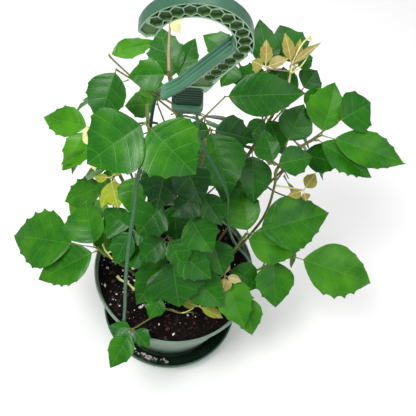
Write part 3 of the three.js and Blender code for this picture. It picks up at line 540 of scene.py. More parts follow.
class Finish:
    """A Principled material, with short calls for the nodes that feed it."""

    def __init__(self, name, **constants):
        self.material = bpy.data.materials.new(name)
        self.material.use_nodes = True
        self.tree = self.material.node_tree
        self.shader = self.tree.nodes["Principled BSDF"]
        for socket, value in constants.items():
            self.shader.inputs[socket.replace("_", " ")].default_value = value

    def node(self, kind, settings=None, **inputs):
        node = self.tree.nodes.new("ShaderNode" + kind)
        for key, value in (settings or {}).items():
            setattr(node, key, value)
        for socket, value in inputs.items():
            self.feed(node, socket.replace("_", " "), value)
        return node

    def feed(self, node, socket, value):
        target = node.inputs[int(socket)] if socket.isdigit() else node.inputs[socket]
        if isinstance(value, bpy.types.NodeSocket):
            self.tree.links.new(value, target)
        else:
            target.default_value = value

    def place(self, scale=(1, 1, 1), turn=(0, 0, 0)):
        """Object coordinates in metres, scaled and turned by a Mapping node."""
        coordinates = self.node("TexCoord").outputs["Object"]
        mapping = self.node("Mapping", Vector=coordinates, Scale=scale, Rotation=turn)
        return mapping.outputs["Vector"]

    def attribute(self, name):
        return self.node("Attribute", dict(attribute_name=name)).outputs["Fac"]

    def uv(self):
        """The two numbers of the piece's UV map."""
        parts = self.node("SeparateXYZ", Vector=self.node("UVMap", dict(uv_map="UVMap")).outputs[0])
        return parts.outputs["X"], parts.outputs["Y"]

    def noise(self, vector, scale, detail=3, rough=0.5):
        node = self.node("TexNoise", Vector=vector, Scale=scale, Detail=detail, Roughness=rough)
        return node.outputs["Fac"]

    def math(self, operation, a, b=0.5, clamp=False):
        node = self.node("Math", dict(operation=operation, use_clamp=clamp))
        self.feed(node, "0", a)
        self.feed(node, "1", b)
        return node.outputs[0]

    def span(self, value, low, high, to_low=0, to_high=1):
        """Maps a value from one span to another, smoothly and held at both ends."""
        node = self.node("MapRange", dict(interpolation_type="SMOOTHSTEP"), Value=value)
        for socket, number in zip(("From Min", "From Max", "To Min", "To Max"), (low, high, to_low, to_high)):
            node.inputs[socket].default_value = number
        return node.outputs["Result"]

    def mix(self, factor, a, b):
        node = self.node("Mix", dict(data_type="RGBA"))
        self.feed(node, "0", factor)
        self.feed(node, "6", a)
        self.feed(node, "7", b)
        return node.outputs[2]

    def ramp(self, factor, *stops):
        node = self.node("ValToRGB", Fac=factor)
        elements = node.color_ramp.elements
        while len(elements) < len(stops):
            elements.new(0.5)
        for element, (position, color) in zip(elements, stops):
            element.position = position
            element.color = color
        return node.outputs["Color"]

    def bump(self, height, distance, strength):
        node = self.node("Bump", Height=height, Distance=distance, Strength=strength)
        return node.outputs["Normal"]

    def done(self, **sockets):
        for socket, value in sockets.items():
            self.feed(self.shader, socket.replace("_", " "), value)
        return self.material


def paint(red, green, blue):
    """A colour given as it looks on screen, 0 to 255, as the linear one that nodes take."""
    linear = []
    for level in (red, green, blue):
        c = level / 255
        linear.append(c / 12.92 if c <= 0.04045 else ((c + 0.055) / 1.055) ** 2.4)
    return (*linear, 1)


def shade(color, factor):
    """A colour made lighter or darker."""
    return (*(min(1, c * factor) for c in color[:3]), 1)


# ---- Finishes -----------------------------------------------------------------------------


def moulded_plastic(name, color, roughness, streak, painted_shade_span=None):
    """Satin moulded plastic: faint cloudy colour, fine grain, scuffs and a little peat dust. Where
    heights are given, it gets darker from the upper one down to the lower, as painted shade."""
    finish = Finish(name, Roughness=roughness, IOR=1.46)
    place = finish.place()
    cloud = finish.noise(place, 22, 4)
    base = finish.mix(finish.span(cloud, 0.3, 0.7), shade(color, 0.88), shade(color, 1.1))
    around = finish.noise(finish.place((6, 6, streak)), 9, 5, 0.6)
    base = finish.mix(finish.span(around, 0.52, 0.75, 0, 0.35), base, shade(color, 1.35))
    dust = finish.noise(place, 130, 6, 0.7)
    base = finish.mix(finish.span(dust, 0.6, 0.76, 0, 0.5), base, paint(92, 84, 66))
    # Painted shade: the colour darkens towards the foot of the wall, below the upper height.
    if painted_shade_span:
        height = finish.node("SeparateXYZ", Vector=place).outputs["Z"]
        ragged = finish.math("ADD", height, finish.math("MULTIPLY", cloud, 0.02))
        base = finish.mix(finish.span(ragged, painted_shade_span[0], painted_shade_span[1], 0.85, 0), base, shade(color, 0.16))
    grain = finish.noise(place, 1400, 2)
    scuff = finish.noise(finish.place((14, 14, 160)), 4, 6, 0.65)
    relief = finish.math("ADD", finish.math("MULTIPLY", grain, 0.35), scuff)
    rough = finish.span(scuff, 0.35, 0.75, roughness - 0.08, roughness + 0.16)
    return finish.done(Base_Color=base, Roughness=rough, Normal=finish.bump(relief, 0.0002, 0.5))


def damp_peat():
    """Near-black peat in crumbs, with browner fibres."""
    finish = Finish("damp_peat", Specular_IOR_Level=0.12)
    place = finish.place()
    crumb = finish.node("TexVoronoi", Vector=place, Scale=420).outputs["Distance"]
    fibre = finish.noise(finish.place((1, 3, 1), (0, 0, 0.6)), 160, 6, 0.7)
    lump = finish.noise(place, 60, 5, 0.6)
    base = finish.ramp(
        fibre, (0.3, paint(5, 3, 3)), (0.5, paint(12, 7, 6)), (0.62, paint(38, 22, 16)),
        (0.76, paint(96, 58, 40)),
    )
    base = finish.mix(finish.span(lump, 0.35, 0.65, 0.1, 0.75), base, paint(10, 7, 7))
    relief = finish.math("ADD", finish.math("MULTIPLY", crumb, -0.8), fibre)
    rough = finish.span(lump, 0.3, 0.7, 0.7, 0.98)
    return finish.done(Base_Color=base, Roughness=rough, Normal=finish.bump(relief, 0.0012, 0.9))


def peat_shade_and_glints(color):
    """The saucer's hollow: wet plastic under peat that was washed out of the pot, thickest at
    the front left. The saucer's colour is darkened there, partly by the wet and partly as painted
    shade under the pot, and pale spots are painted glints on the wet film."""
    finish = Finish("peat_shade_and_glints", Specular_IOR_Level=0.55)
    place = finish.place()
    parts = finish.node("SeparateXYZ", Vector=place)
    left = finish.math("ADD", finish.math("MULTIPLY", parts.outputs["X"], -1), parts.outputs["Y"])
    film = finish.noise(place, 70, 6, 0.7)
    reach = finish.math("ADD", finish.math("MULTIPLY", left, 5), film)
    # Painted shade: the hollow starts from the saucer's colour darkened to a third, and goes to near-black
    # peat towards the front left.
    base = finish.mix(finish.span(reach, 0.05, 0.75), shade(color, 0.3), paint(7, 7, 6))
    # Painted highlight: sparse pale spots stand for glints on the wet film.
    painted_glint = finish.noise(place, 900, 2, 0.5)
    base = finish.mix(finish.span(painted_glint, 0.68, 0.74, 0, 0.6), base, paint(150, 150, 138))
    rough = finish.span(film, 0.35, 0.7, 0.18, 0.75)
    return finish.done(Base_Color=base, Roughness=rough, Normal=finish.bump(film, 0.0008, 0.7))


def grain_finish(name, dark, light, roughness):
    """Perlite or bark: each grain has its own tone, with a pitted surface."""
    finish = Finish(name, Roughness=roughness)
    place = finish.place()
    pits = finish.noise(place, 900, 4, 0.7)
    base = finish.mix(finish.attribute("tone"), dark, light)
    base = finish.mix(finish.span(pits, 0.35, 0.6, 0.45, 0), base, shade(dark, 0.6))
    return finish.done(Base_Color=base, Normal=finish.bump(pits, 0.0005, 0.7))


def leaf_blade(name, dark, middle, bright, vein, gloss, vein_share):
    """A living leaf. The UV map runs in spaces between side veins, and in centimetres out from
    the midrib; `tone` goes from a dark leaf to a bright one, partly by age and partly as painted
    shade and painted light."""
    finish = Finish(name, Roughness=gloss, IOR=1.42, Specular_IOR_Level=0.32)
    along, out = finish.uv()
    place = finish.place()
    cloud = finish.math("SUBTRACT", finish.noise(place, 42, 3), 0.5)
    tone = finish.math("ADD", finish.attribute("tone"), finish.math("MULTIPLY", cloud, 0.8), True)
    base = finish.ramp(tone, (0.06, dark), (0.5, middle), (0.94, bright))
    cell = finish.noise(place, 620, 3, 0.6)
    base = finish.mix(finish.span(cell, 0.35, 0.7, 0, 0.12), base, shade(bright, 1.1))
    bruise = finish.noise(place, 150, 5, 0.7)
    base = finish.mix(finish.span(bruise, 0.6, 0.74, 0, 0.16), base, shade(dark, 0.8))
    side = finish.math("ABSOLUTE", out)
    # Distance from the nearest side vein, in spaces, and the midrib's in centimetres.
    phase = finish.math("FRACT", finish.math("ADD", along, 0.75))
    off_vein = finish.math("ABSOLUTE", finish.math("SUBTRACT", phase, 0.5))
    side_vein = finish.span(off_vein, 0.01, 0.07, 0.55, 0)
    midrib = finish.span(side, 0.02, 0.07, 1, 0)
    net = finish.node("TexVoronoi", dict(feature="DISTANCE_TO_EDGE"), Vector=place, Scale=520)
    fine = finish.span(net.outputs["Distance"], 0.0, 0.09, 0.12, 0)
    veins = finish.math("MAXIMUM", finish.math("MAXIMUM", midrib, side_vein), fine)
    base = finish.mix(finish.math("MULTIPLY", veins, vein_share), base, vein)
    relief = finish.math("SUBTRACT", finish.math("MULTIPLY", cell, 0.5), veins)
    rough = finish.span(cell, 0.3, 0.75, gloss - 0.06, gloss + 0.12)
    return finish.done(Base_Color=base, Roughness=rough, Normal=finish.bump(relief, 0.0004, 0.4))


def stem_skin(name, green, brown, pale):
    """A soft stem: green to reddish brown along its length, with fine ridges and pale hairs."""
    finish = Finish(name, Roughness=0.55, Specular_IOR_Level=0.35)
    place = finish.place()
    cloud = finish.math("SUBTRACT", finish.noise(place, 45, 3), 0.5)
    patch = finish.math("ADD", finish.attribute("tone"), cloud, True)
    base = finish.mix(finish.span(patch, 0.3, 0.8), brown, green)
    hair = finish.noise(finish.place((1, 1, 0.25)), 1500, 3, 0.6)
    base = finish.mix(finish.span(hair, 0.52, 0.68, 0, 0.5), base, pale)
    return finish.done(Base_Color=base, Normal=finish.bump(hair, 0.0003, 0.6))


# ---- Pot, saucer and potting mix ----------------------------------------------------------

POT_FOOT = SAUCER_FLOOR + GAP
LIP_BASE = RIM_TOP - LIP_HEIGHT
LIP_INNER = RIM_RADIUS - LIP_DEPTH


def pot_radius(height):
    """Radius of the pot's outer wall at a height."""
    share = (height - POT_FOOT) / (LIP_BASE - POT_FOOT)
    return POT_FOOT_RADIUS + share * (LIP_INNER + 0.6 - POT_FOOT_RADIUS)


def pot_inner(height):
    return pot_radius(height) - POT_WALL


SOIL_EDGE = pot_inner(SOIL_EDGE_TOP) - GAP
SOIL_RINGS = 46
# The sector of the mix where the most perlite was washed up, in radians.
PERLITE_SECTOR = (2.6, 4.3)
SAUCER_GRAINS = 46
# Where in the saucer they lie: its lowest, highest and commonest angle, in radians.
WASHED_SECTOR = (-2.3, -1.2, -1.75)
# Smallest and largest grains, in millimetres.
CHIP_SIZES = (1.2, 5.2)
WASHED_SIZES = (1.2, 5.2)
PERLITE_SIZES = (0.9, 3.4)
MIX_SEED = 11


def around_axis(radius, angle, height):
    turn = math.radians(angle)
    return Vector((radius * math.cos(turn), radius * math.sin(turn), height))


def pot_shape():
    floor = POT_FOOT + POT_WALL
    steps = [10 + 12 * k for k in range(1, 10)]
    outer = [(pot_radius(h), h) for h in steps]
    inner = [(pot_inner(h), h) for h in reversed(steps)]
    return turned(
        [
            (0, POT_FOOT), (POT_FOOT_RADIUS - 6, POT_FOOT), (POT_FOOT_RADIUS - 4, POT_FOOT + 1),
            (POT_FOOT_RADIUS, POT_FOOT + 1), *outer, (pot_radius(LIP_BASE - 2), LIP_BASE - 2),
            (RIM_RADIUS - 1.2, LIP_BASE), (RIM_RADIUS, LIP_BASE + 1.2), (RIM_RADIUS, RIM_TOP - 2),
            (RIM_RADIUS - 1.2, RIM_TOP), (LIP_INNER + 0.6, RIM_TOP), (LIP_INNER, RIM_TOP - 1),
            (LIP_INNER, LIP_BASE), (pot_inner(LIP_BASE - 1), LIP_BASE - 1), *inner,
            (pot_inner(floor), floor), (0, floor),
        ]
    )


def saucer_shape():
    inner = SAUCER_RIM_RADIUS - SAUCER_WALL
    foot = SAUCER_FOOT_RADIUS
    return turned(
        [
            (0, 0.8), (foot - 9, 0.8), (foot - 8, 0), (foot - 1, 0), (foot + 1, 1),
            (foot + 12, 15), (SAUCER_RIM_RADIUS - 1.6, SAUCER_HEIGHT - 4.4),
            (SAUCER_RIM_RADIUS, SAUCER_HEIGHT - 3.4), (SAUCER_RIM_RADIUS, SAUCER_HEIGHT - 0.6),
            (SAUCER_RIM_RADIUS - 0.8, SAUCER_HEIGHT), (inner + 0.4, SAUCER_HEIGHT),
            (inner - 0.2, SAUCER_HEIGHT - 1), (inner - 1.4, SAUCER_HEIGHT - 5),
            (foot + 9, 15), (foot - 1.5, SAUCER_FLOOR), (0, SAUCER_FLOOR),
        ]
    )


def wet_and_shaded_inside(shape):
    """Gives the saucer's hollow, up to just below its rim, the second finish."""
    for face in shape.faces:
        middle = face.calc_center_median()
        inwards = face.normal.dot(Vector((-middle.x, -middle.y, 40)).normalized())
        if inwards > 0.3 and middle.z < SAUCER_HEIGHT - 2:
            face.material_index = 1
    return shape


def soil_height(radius):
    """Height of the mix's middling surface at a distance from the axis."""
    return SOIL_EDGE_TOP + SOIL_CROWN * (1 - min(1, radius / SOIL_EDGE) ** 2.4)


def soil_lumps(x, y):
    broad = noise.fractal((x / 17, y / 17, 3.1), 1, 2, 4)
    fine = noise.noise((x / 3.1, y / 3.1, 8.7))
    return 1.5 * broad + 0.7 * fine


def soil_shape():
    """The mix: a crowned plug with a lumpy top, which lies calm along the pot's wall."""
    base = POT_FOOT + POT_WALL + GAP
    top = [(SOIL_EDGE * k / SOIL_RINGS, soil_height(SOIL_EDGE * k / SOIL_RINGS)) for k in range(SOIL_RINGS)]
    shape = turned([*top, (SOIL_EDGE, SOIL_EDGE_TOP - 0.6), (pot_inner(base) - GAP, base), (0, base)])
    for vert in shape.verts:
        if vert.co.z > SOIL_EDGE_TOP - 0.1:
            held = min(1, (SOIL_EDGE - math.hypot(vert.co.x, vert.co.y)) / 8)
            vert.co.z += soil_lumps(vert.co.x, vert.co.y) * held
    return shape


def grains(chance, spots, sizes, flat, tones):
    """Crumbs with few faces: each is a small ball that is squashed, dented and turned."""
    whole = empty_shape()
    tone = whole.verts.layers.float["tone"]
    for spot in spots:
        size = sizes[0] + (sizes[1] - sizes[0]) * chance.random() ** 2.2
        crumb = bmesh.ops.create_icosphere(whole, subdivisions=1, radius=size / 2)["verts"]
        for vert in crumb:
            vert.co *= chance.uniform(0.75, 1.2)
            vert[tone] = 0
        around = Matrix.Rotation(chance.uniform(0, TURN), 3, "Z")
        turn = around @ Matrix.Rotation(chance.uniform(-0.5, 0.5), 3, "X")
        squash = Matrix.Diagonal((chance.uniform(1, 1.5), chance.uniform(0.7, 1), flat))
        level = chance.uniform(*tones)
        for vert in crumb:
            vert.co = turn @ (squash @ vert.co) + Vector(spot)
            vert[tone] = level
    return whole


def soil_spots(chance, count, sink, sector=(0, TURN)):
    """Spots on the mix, evenly spread over a sector of it, and how far each grain stands out."""
    edge = pot_inner(SOIL_EDGE_TOP) - 3
    spots = []
    for _ in range(count):
        radius = edge * math.sqrt(chance.random())
        angle = chance.uniform(*sector)
        x, y = radius * math.cos(angle), radius * math.sin(angle)
        spots.append((x, y, soil_height(radius) + soil_lumps(x, y) + chance.uniform(*sink)))
    return spots


def ring_spots(chance, count):
    """Spots on the saucer's sloping floor, round the pot's foot."""
    spots = []
    for _ in range(count):
        angle = chance.triangular(*WASHED_SECTOR)
        height = chance.uniform(12, 19)
        radius = SAUCER_FOOT_RADIUS - 1.5 + (height - SAUCER_FLOOR) * 0.87
        spots.append((radius * math.cos(angle), radius * math.sin(angle), height + 1))
    return spots


# ---- Hanger -------------------------------------------------------------------------------

HOOK_MIDDLE = (HOOK_OUTER + HOOK_INNER) / 2
LIP = 1.2
CELL_DEPTH = 3.2
CELL_RADIUS = 4.65
CELL_STEP = 14.3  # degrees from one cell to the next round the bend
FIRST_CELL = 143
BEND_CELLS = 11
CELL = [(CELL_RADIUS * math.cos(k * TURN / 6), CELL_RADIUS * math.sin(k * TURN / 6)) for k in range(6)]
# The cells between those and the lips are cut short: one row outside and one inside.
OUTER_CELL = [(2.95, 0), (5.5, 4.3), (5.5, -4.3)]
INNER_CELL = [(-2.95, 0), (-5.5, -3.2), (-5.5, 3.2)]
# The neck runs from the bend down to the block along its straight inner edge.
NECK_TOP = Vector((19.4, 70.4))
NECK_RUN = Vector((-0.532, -0.846))
NECK_OUT = Vector((0.846, -0.532))
NECK_SLANT = -32.2  # degrees from +X to the way across the neck
TURNING_CELL = (Vector((31.5, 72)), -22)
NECK_CELLS = 4
NECK_STEP = 8.3
NECK_START = 0.5  # how far down the neck its first cell is
NECK_INSET = 8.6  # how far from the inner edge that cell is
NECK_DRIFT = 0.35  # how much further from the edge each next one is
NECK_OUTER_CELL = [(2.95, 0), (4.9, 3.3), (4.9, -3.3)]
NECK_INNER_CELL = [(-2.95, 0), (-4.4, -2.5), (-4.4, 2.5)]
NECK_POCKET = [(7.3, 43.2), (17.9, 36.5), (15.6, 31.5), (-0.1, 31.5)]
TIP_POCKET = (151.3, 163.5)  # degrees that the shallow pocket at the hook's tip spans
POCKET_DEPTH = 1.3
# The bar down the neck's inner edge: its outline, and the line that its ridges follow.
BAR = [
    (27.2, 84.5), (24.4, 77.4), (18.8, 69.9), (8.3, 53.5), (-8.5, 27.4), (-22.2, 13.2), (-22.4, 11.6),
    (-21.2, 10), (-19.2, 9.6), (-5.4, 25.4), (11, 52), (21.6, 68.2), (28.8, 78.4),
]
RIDGES = [(25.6, 81), (21.4, 73.7), (8.6, 53.8), (-8.2, 27.6), (-20, 15)]
BAR_WIDTH = 13.2
RIDGE_PLACES = (-4, 0, 4)
RIDGE_RADIUS = 1.5


def arc(radius, start, stop, count):
    """Points on the hook's bend, from one angle to another, in the hook's plane."""
    points = []
    for k in range(count + 1):
        turn = math.radians(start + (stop - start) * k / count)
        points.append((radius * math.cos(turn), HOOK_RISE + radius * math.sin(turn)))
    return points


def plate(outline, thickness):
    """A flat plate across the hook's thickness, from an outline in the hook's own plane."""
    shape = empty_shape()
    verts = [shape.verts.new((x, -thickness / 2, z)) for x, z in outline]
    face = shape.faces.new(verts)
    grown = bmesh.ops.extrude_face_region(shape, geom=[face])["geom"]
    bmesh.ops.translate(shape, vec=(0, thickness, 0), verts=only(bmesh.types.BMVert, grown))
    bmesh.ops.recalc_face_normals(shape, faces=shape.faces)
    return shape


def hook_outline():
    tip = math.radians(HOOK_TIP_ANGLE) + 0.12
    nose = (HOOK_MIDDLE * math.cos(tip), HOOK_RISE + HOOK_MIDDLE * math.sin(tip))
    return [
        (-21.5, 12.5), (-19, 9.8), (-9, 20), (13, BLOCK_HEIGHT - 6), (14.5, 26), (23, 46), (35, 68),
        *arc(HOOK_OUTER, HOOK_NECK_ANGLE, HOOK_TIP_ANGLE, 44), nose,
        *arc(HOOK_INNER, HOOK_TIP_ANGLE, HOOK_NECK_ANGLE + 6, 40), (19.4, 70.4), (8.9, 54), (-7.9, 27),
    ]


def carved(body, tools, name):
    """A plate with the tools' shapes cut out of it."""
    objects = []
    for shape in (body, tools):
        mesh = bpy.data.meshes.new(name)
        shape.to_mesh(mesh)
        shape.free()
        obj = bpy.data.objects.new(name, mesh)
        bpy.context.scene.collection.objects.link(obj)
        objects.append(obj)
    blank, cutter = objects
    cut = blank.modifiers.new("cut", "BOOLEAN")
    cut.operation = "DIFFERENCE"
    cut.solver = "EXACT"
    cut.use_self = True
    cut.object = cutter
    bpy.context.view_layer.update()
    result = bpy.data.meshes.new_from_object(blank.evaluated_get(bpy.context.evaluated_depsgraph_get()))
    shape = empty_shape()
    shape.from_mesh(result)
    bpy.data.meshes.remove(result)
    for obj in objects:
        bpy.data.objects.remove(obj)
    return shape


def cell(centre, angle, corners):
    """An outline round a centre, with its first direction turned to an angle."""
    turn = math.radians(angle)
    out, beside = Vector((math.cos(turn), math.sin(turn))), Vector((-math.sin(turn), math.cos(turn)))
    return [centre + out * a + beside * b for a, b in corners]


def on_bend(angle):
    turn = math.radians(angle)
    return Vector((HOOK_MIDDLE * math.cos(turn), HOOK_RISE + HOOK_MIDDLE * math.sin(turn)))


def honeycomb():
    """The cells' outlines: whole ones in a row, with short ones outside and inside of them."""
    cells = []
    for k in range(BEND_CELLS):
        angle = FIRST_CELL - k * CELL_STEP
        between = angle - CELL_STEP / 2
        cells.append(cell(on_bend(angle), angle, CELL))
        cells += [cell(on_bend(between), between, short) for short in (OUTER_CELL, INNER_CELL)]
    cells.append(cell(*TURNING_CELL, CELL))
    for k in range(NECK_CELLS):
        down = NECK_RUN * (NECK_START + NECK_STEP * k)
        middle = NECK_TOP + NECK_OUT * (NECK_INSET + NECK_DRIFT * k) + down
        between = middle + NECK_RUN * NECK_STEP / 2
        cells.append(cell(middle, NECK_SLANT, CELL))
        cells += [cell(between, NECK_SLANT, short) for short in (NECK_OUTER_CELL, NECK_INNER_CELL)]
    return cells


def honeycomb_tools():
    """What is cut out of both sides of the hook: the cells and two shallow pockets."""
    start, stop = TIP_POCKET
    outer, inner = arc(HOOK_OUTER - LIP, start, stop, 6), arc(HOOK_INNER + LIP, stop, start, 6)
    pockets = [NECK_POCKET, [*outer, on_bend(stop + 4.5), *inner]]
    cuts = [(outline, CELL_DEPTH) for outline in honeycomb()]
    cuts += [(outline, POCKET_DEPTH) for outline in pockets]
    tools = empty_shape()
    for outline, depth in cuts:
        for side in (-1, 1):
            prism = plate([tuple(p) for p in outline], 2 * depth)
            bmesh.ops.translate(prism, vec=(0, side * HOOK_THICKNESS / 2, 0), verts=prism.verts)
            join_into(tools, prism)
    return tools


# Places of the hanger's finishes in its list.
RIM, EDGE, HOLLOW, BLOCK, BAR_SLOT = range(5)


def hook_shape():
    """The hook's plate with its honeycomb. The lips and ribs have pale edges, which are painted
    highlight, and the hollows are darker."""
    body = carved(plate(hook_outline(), HOOK_THICKNESS), honeycomb_tools(), "hook")
    for face in body.faces:
        depth = abs(face.calc_center_median().y)
        if abs(face.normal.y) > 0.9:
            face.material_index = EDGE if depth > HOOK_THICKNESS / 2 - 0.1 else HOLLOW
        else:
            face.material_index = HOLLOW if depth > 1 else RIM
    return body


def rounded_slab(width, depth, bottom, top, corner):
    """A level slab with rounded upright corners."""
    slab = empty_shape()
    bmesh.ops.create_cube(slab, size=1)
    bmesh.ops.scale(slab, vec=(width, depth, top - bottom), verts=slab.verts)
    bmesh.ops.translate(slab, vec=(0, 0, (bottom + top) / 2), verts=slab.verts)
    upright = [e for e in slab.edges if abs(e.verts[0].co.z - e.verts[1].co.z) > 0.1]
    bevel_edges(slab, upright, corner, 5)
    round_off(slab, 0.4, 40, 2)
    return slab


def block_layer(bottom, top, inset):
    """One layer of the block, inset from its sides. Its left end stays inside the bar, which
    crosses the block's upper left corner."""
    right = BLOCK_WIDTH / 2 - inset
    left = max(-right, 0.965 * top - 32.5)
    layer = rounded_slab(right - left, BLOCK_DEPTH - 2 * inset, bottom, top, 3)
    bmesh.ops.translate(layer, vec=((left + right) / 2, 0, 0), verts=layer.verts)
    return layer


def block_shape():
    """The ribbed block under the hook, on its foot plate. Its ribs and core take a very dark
    finish, which is painted shade under the bar.
    """
    whole = empty_shape()
    join_into(whole, rounded_slab(BLOCK_WIDTH, PLATE_DEPTH, 0, 5, 4), RIM)
    for k in range(BLOCK_RIBS):
        bottom = RIB_BASE + k * RIB_STEP
        join_into(whole, block_layer(bottom, bottom + RIB_HEIGHT, RIB_INSET), BLOCK)
    for bottom, top in ((4, 20), (19, 25), (24, BLOCK_HEIGHT)):
        join_into(whole, block_layer(bottom, top, CORE_INSET), BLOCK)
    return whole


def neck_bar():
    """The bar down the neck's inner edge, with three round ridges on it."""
    whole = plate(BAR, BAR_WIDTH)
    round_off(whole, 0.9, 50, 3)
    for side in RIDGE_PLACES:
        path = smooth_path([Vector((x, side, z)) for x, z in RIDGES], 8)
        last = len(path) - 1
        radii = [RIDGE_RADIUS * min(1, 0.2 + k / 3, 0.2 + (last - k) / 3) for k in range(last + 1)]
        join_into(whole, tube(path, radii, 10))
    return whole


def place_hanger(shape):
    lean = Matrix.Rotation(math.radians(HANGER_LEAN), 4, "X")
    turn = Matrix.Rotation(math.radians(HANGER_TURN), 4, "Z")
    bmesh.ops.transform(shape, matrix=Matrix.Translation(HANGER_AT) @ turn @ lean, verts=shape.verts)


def strap_band(path, axis):
    """A flat band with rounded edges along a path, level across the way to an upright axis."""
    band = empty_shape()
    corners = []
    for side, face, way in ((-1, -1, 1), (1, -1, -1), (1, 1, 1), (-1, 1, -1)):
        for x, y in STRAP_QUARTER[::way]:
            corners.append((side * x * STRAP_WIDTH / 2, face * y * STRAP_THICKNESS / 2, 0))
    verts = [band.verts.new(corner) for corner in corners]
    for a, b in zip(verts, verts[1:] + verts[:1]):
        band.edges.new((a, b))
    stations = []
    for k, point in enumerate(path):
        tangent = tangent_at(path, k)
        beside = Vector((0, 0, 1)).cross((point - axis) * Vector((1, 1, 0))).normalized()
        beside = (beside - tangent * beside.dot(tangent)).normalized()
        stations.append((point, beside, tangent.cross(beside)))
    sweep(band, stations)
    return band


def strap_shape(name):
    """A flat band from the block to the pot's lip, with a foot inside the lip and a stud."""
    angle = STRAP_ANGLES[name]
    thickness, width, height = (STRAP_FOOT[key] for key in ("thickness", "width", "height"))
    foot = around_axis(STRAP_FOOT["radius"] - thickness / 2, angle, 0)
    axis = Vector((HANGER_AT[0], HANGER_AT[1], 0))
    stops = [axis + around_axis(*stop) for stop in STRAP_ROUTES[name]]
    stops += [foot + Vector((0, 0, landing)) for landing in STRAP_LANDING]
    whole = strap_band(smooth_path(stops, 8), axis)
    pad = empty_shape()
    bmesh.ops.create_cube(pad, size=1)
    bmesh.ops.scale(pad, vec=(thickness, width, height), verts=pad.verts)
    round_off(pad, 0.6)
    bmesh.ops.rotate(pad, verts=pad.verts, matrix=Matrix.Rotation(math.radians(angle), 3, "Z"))
    middle = foot + Vector((0, 0, STRAP_FOOT["base"] + height / 2))
    bmesh.ops.translate(pad, vec=middle, verts=pad.verts)
    join_into(whole, pad)
    inside = around_axis(STRAP_FOOT["radius"] - 1, angle, STUD_HEIGHT)
    outside = around_axis(RIM_RADIUS + 1.5, angle, STUD_HEIGHT)
    stud = [inside.lerp(outside, share) for share in (0, 0.5, 0.93, 1)]
    join_into(whole, tube(stud, [STUD_RADIUS, STUD_RADIUS, STUD_RADIUS, STUD_RADIUS * 0.6], 16))
    return whole


# ---- Leaves and stems ---------------------------------------------------------------------

# Rows of a blade from edge to edge, closer together beside the midrib.
BLADE_ROWS = (-1, -0.84, -0.64, -0.42, -0.21, -0.06, 0, 0.06, 0.21, 0.42, 0.64, 0.84, 1)
BASE_COLUMNS = 8
TOOTH_COLUMNS = 4
TIP_COLUMNS = 4
TOOTHED_FROM = 0.34
TOOTHED_TO = 0.9
TOOTH_EVERY = 19  # a side has one tooth for each of these lengths of the blade
FEWEST_TEETH = 2
MOST_TEETH = 4
TOOTH_GROWTH_ENDS = 44  # teeth get deeper with a blade up to this width

# Half of a blade's outline as (share of the length, share of the half width): one with its
# widest part near the middle, and one with a fuller base for the outer halves of side leaflets.
EVEN = (
    (0, 0), (0.04, 0.24), (0.1, 0.5), (0.2, 0.8), (0.31, 0.97), (0.42, 1.03), (0.52, 0.98),
    (0.63, 0.83), (0.75, 0.61), (0.86, 0.36), (0.94, 0.16), (1, 0),
)
FULL = (
    (0, 0), (0.03, 0.32), (0.08, 0.6), (0.17, 0.88), (0.28, 1.03), (0.39, 1.05), (0.5, 0.97),
    (0.62, 0.81), (0.74, 0.6), (0.86, 0.36), (0.94, 0.16), (1, 0),
)
# A tooth along its columns: the point, then the hollow edge that runs on to the next point.
TOOTH_RISE = (0.75, -0.15, -0.42, -0.14)
TOOTH_REACH = (0.12, 0, 0, 0.02)
VEIN_SWEEP = 0.78  # how far the midrib's end of a side vein lags behind its tooth
MIDRIB_ROUND = 1.8  # how far from the midrib the fold is eased, in millimetres
# Places of a plant's finishes in its list.
UPPER, UNDER, SKIN = range(3)


def leaf_frame(azimuth, tilt):
    """The matrix that puts a leaf's plane (downhill, level, up) where it faces."""
    a, t = math.radians(azimuth), math.radians(tilt)
    normal = Vector((math.cos(a) * math.sin(t), math.sin(a) * math.sin(t), math.cos(t)))
    downhill = Vector((math.cos(a) * math.cos(t), math.sin(a) * math.cos(t), -math.sin(t)))
    level = normal.cross(downhill)
    return Matrix((downhill, level, normal)).transposed().to_4x4()


def half_width(outline, share):
    """How far out a blade's edge is, of its widest, at a share of its length."""
    for (x0, y0), (x1, y1) in zip(outline, outline[1:]):
        if share <= x1:
            return y0 + (y1 - y0) * (share - x0) / (x1 - x0)
    return 0


def share_at(step, teeth):
    """The share of a blade's length at a column, counted from the first tooth's column."""
    if step < 0:
        return TOOTHED_FROM * (step + BASE_COLUMNS) / BASE_COLUMNS
    if step <= teeth * TOOTH_COLUMNS:
        return TOOTHED_FROM + (TOOTHED_TO - TOOTHED_FROM) * step / TOOTH_COLUMNS / teeth
    return TOOTHED_TO + (1 - TOOTHED_TO) * (step - teeth * TOOTH_COLUMNS) / TIP_COLUMNS


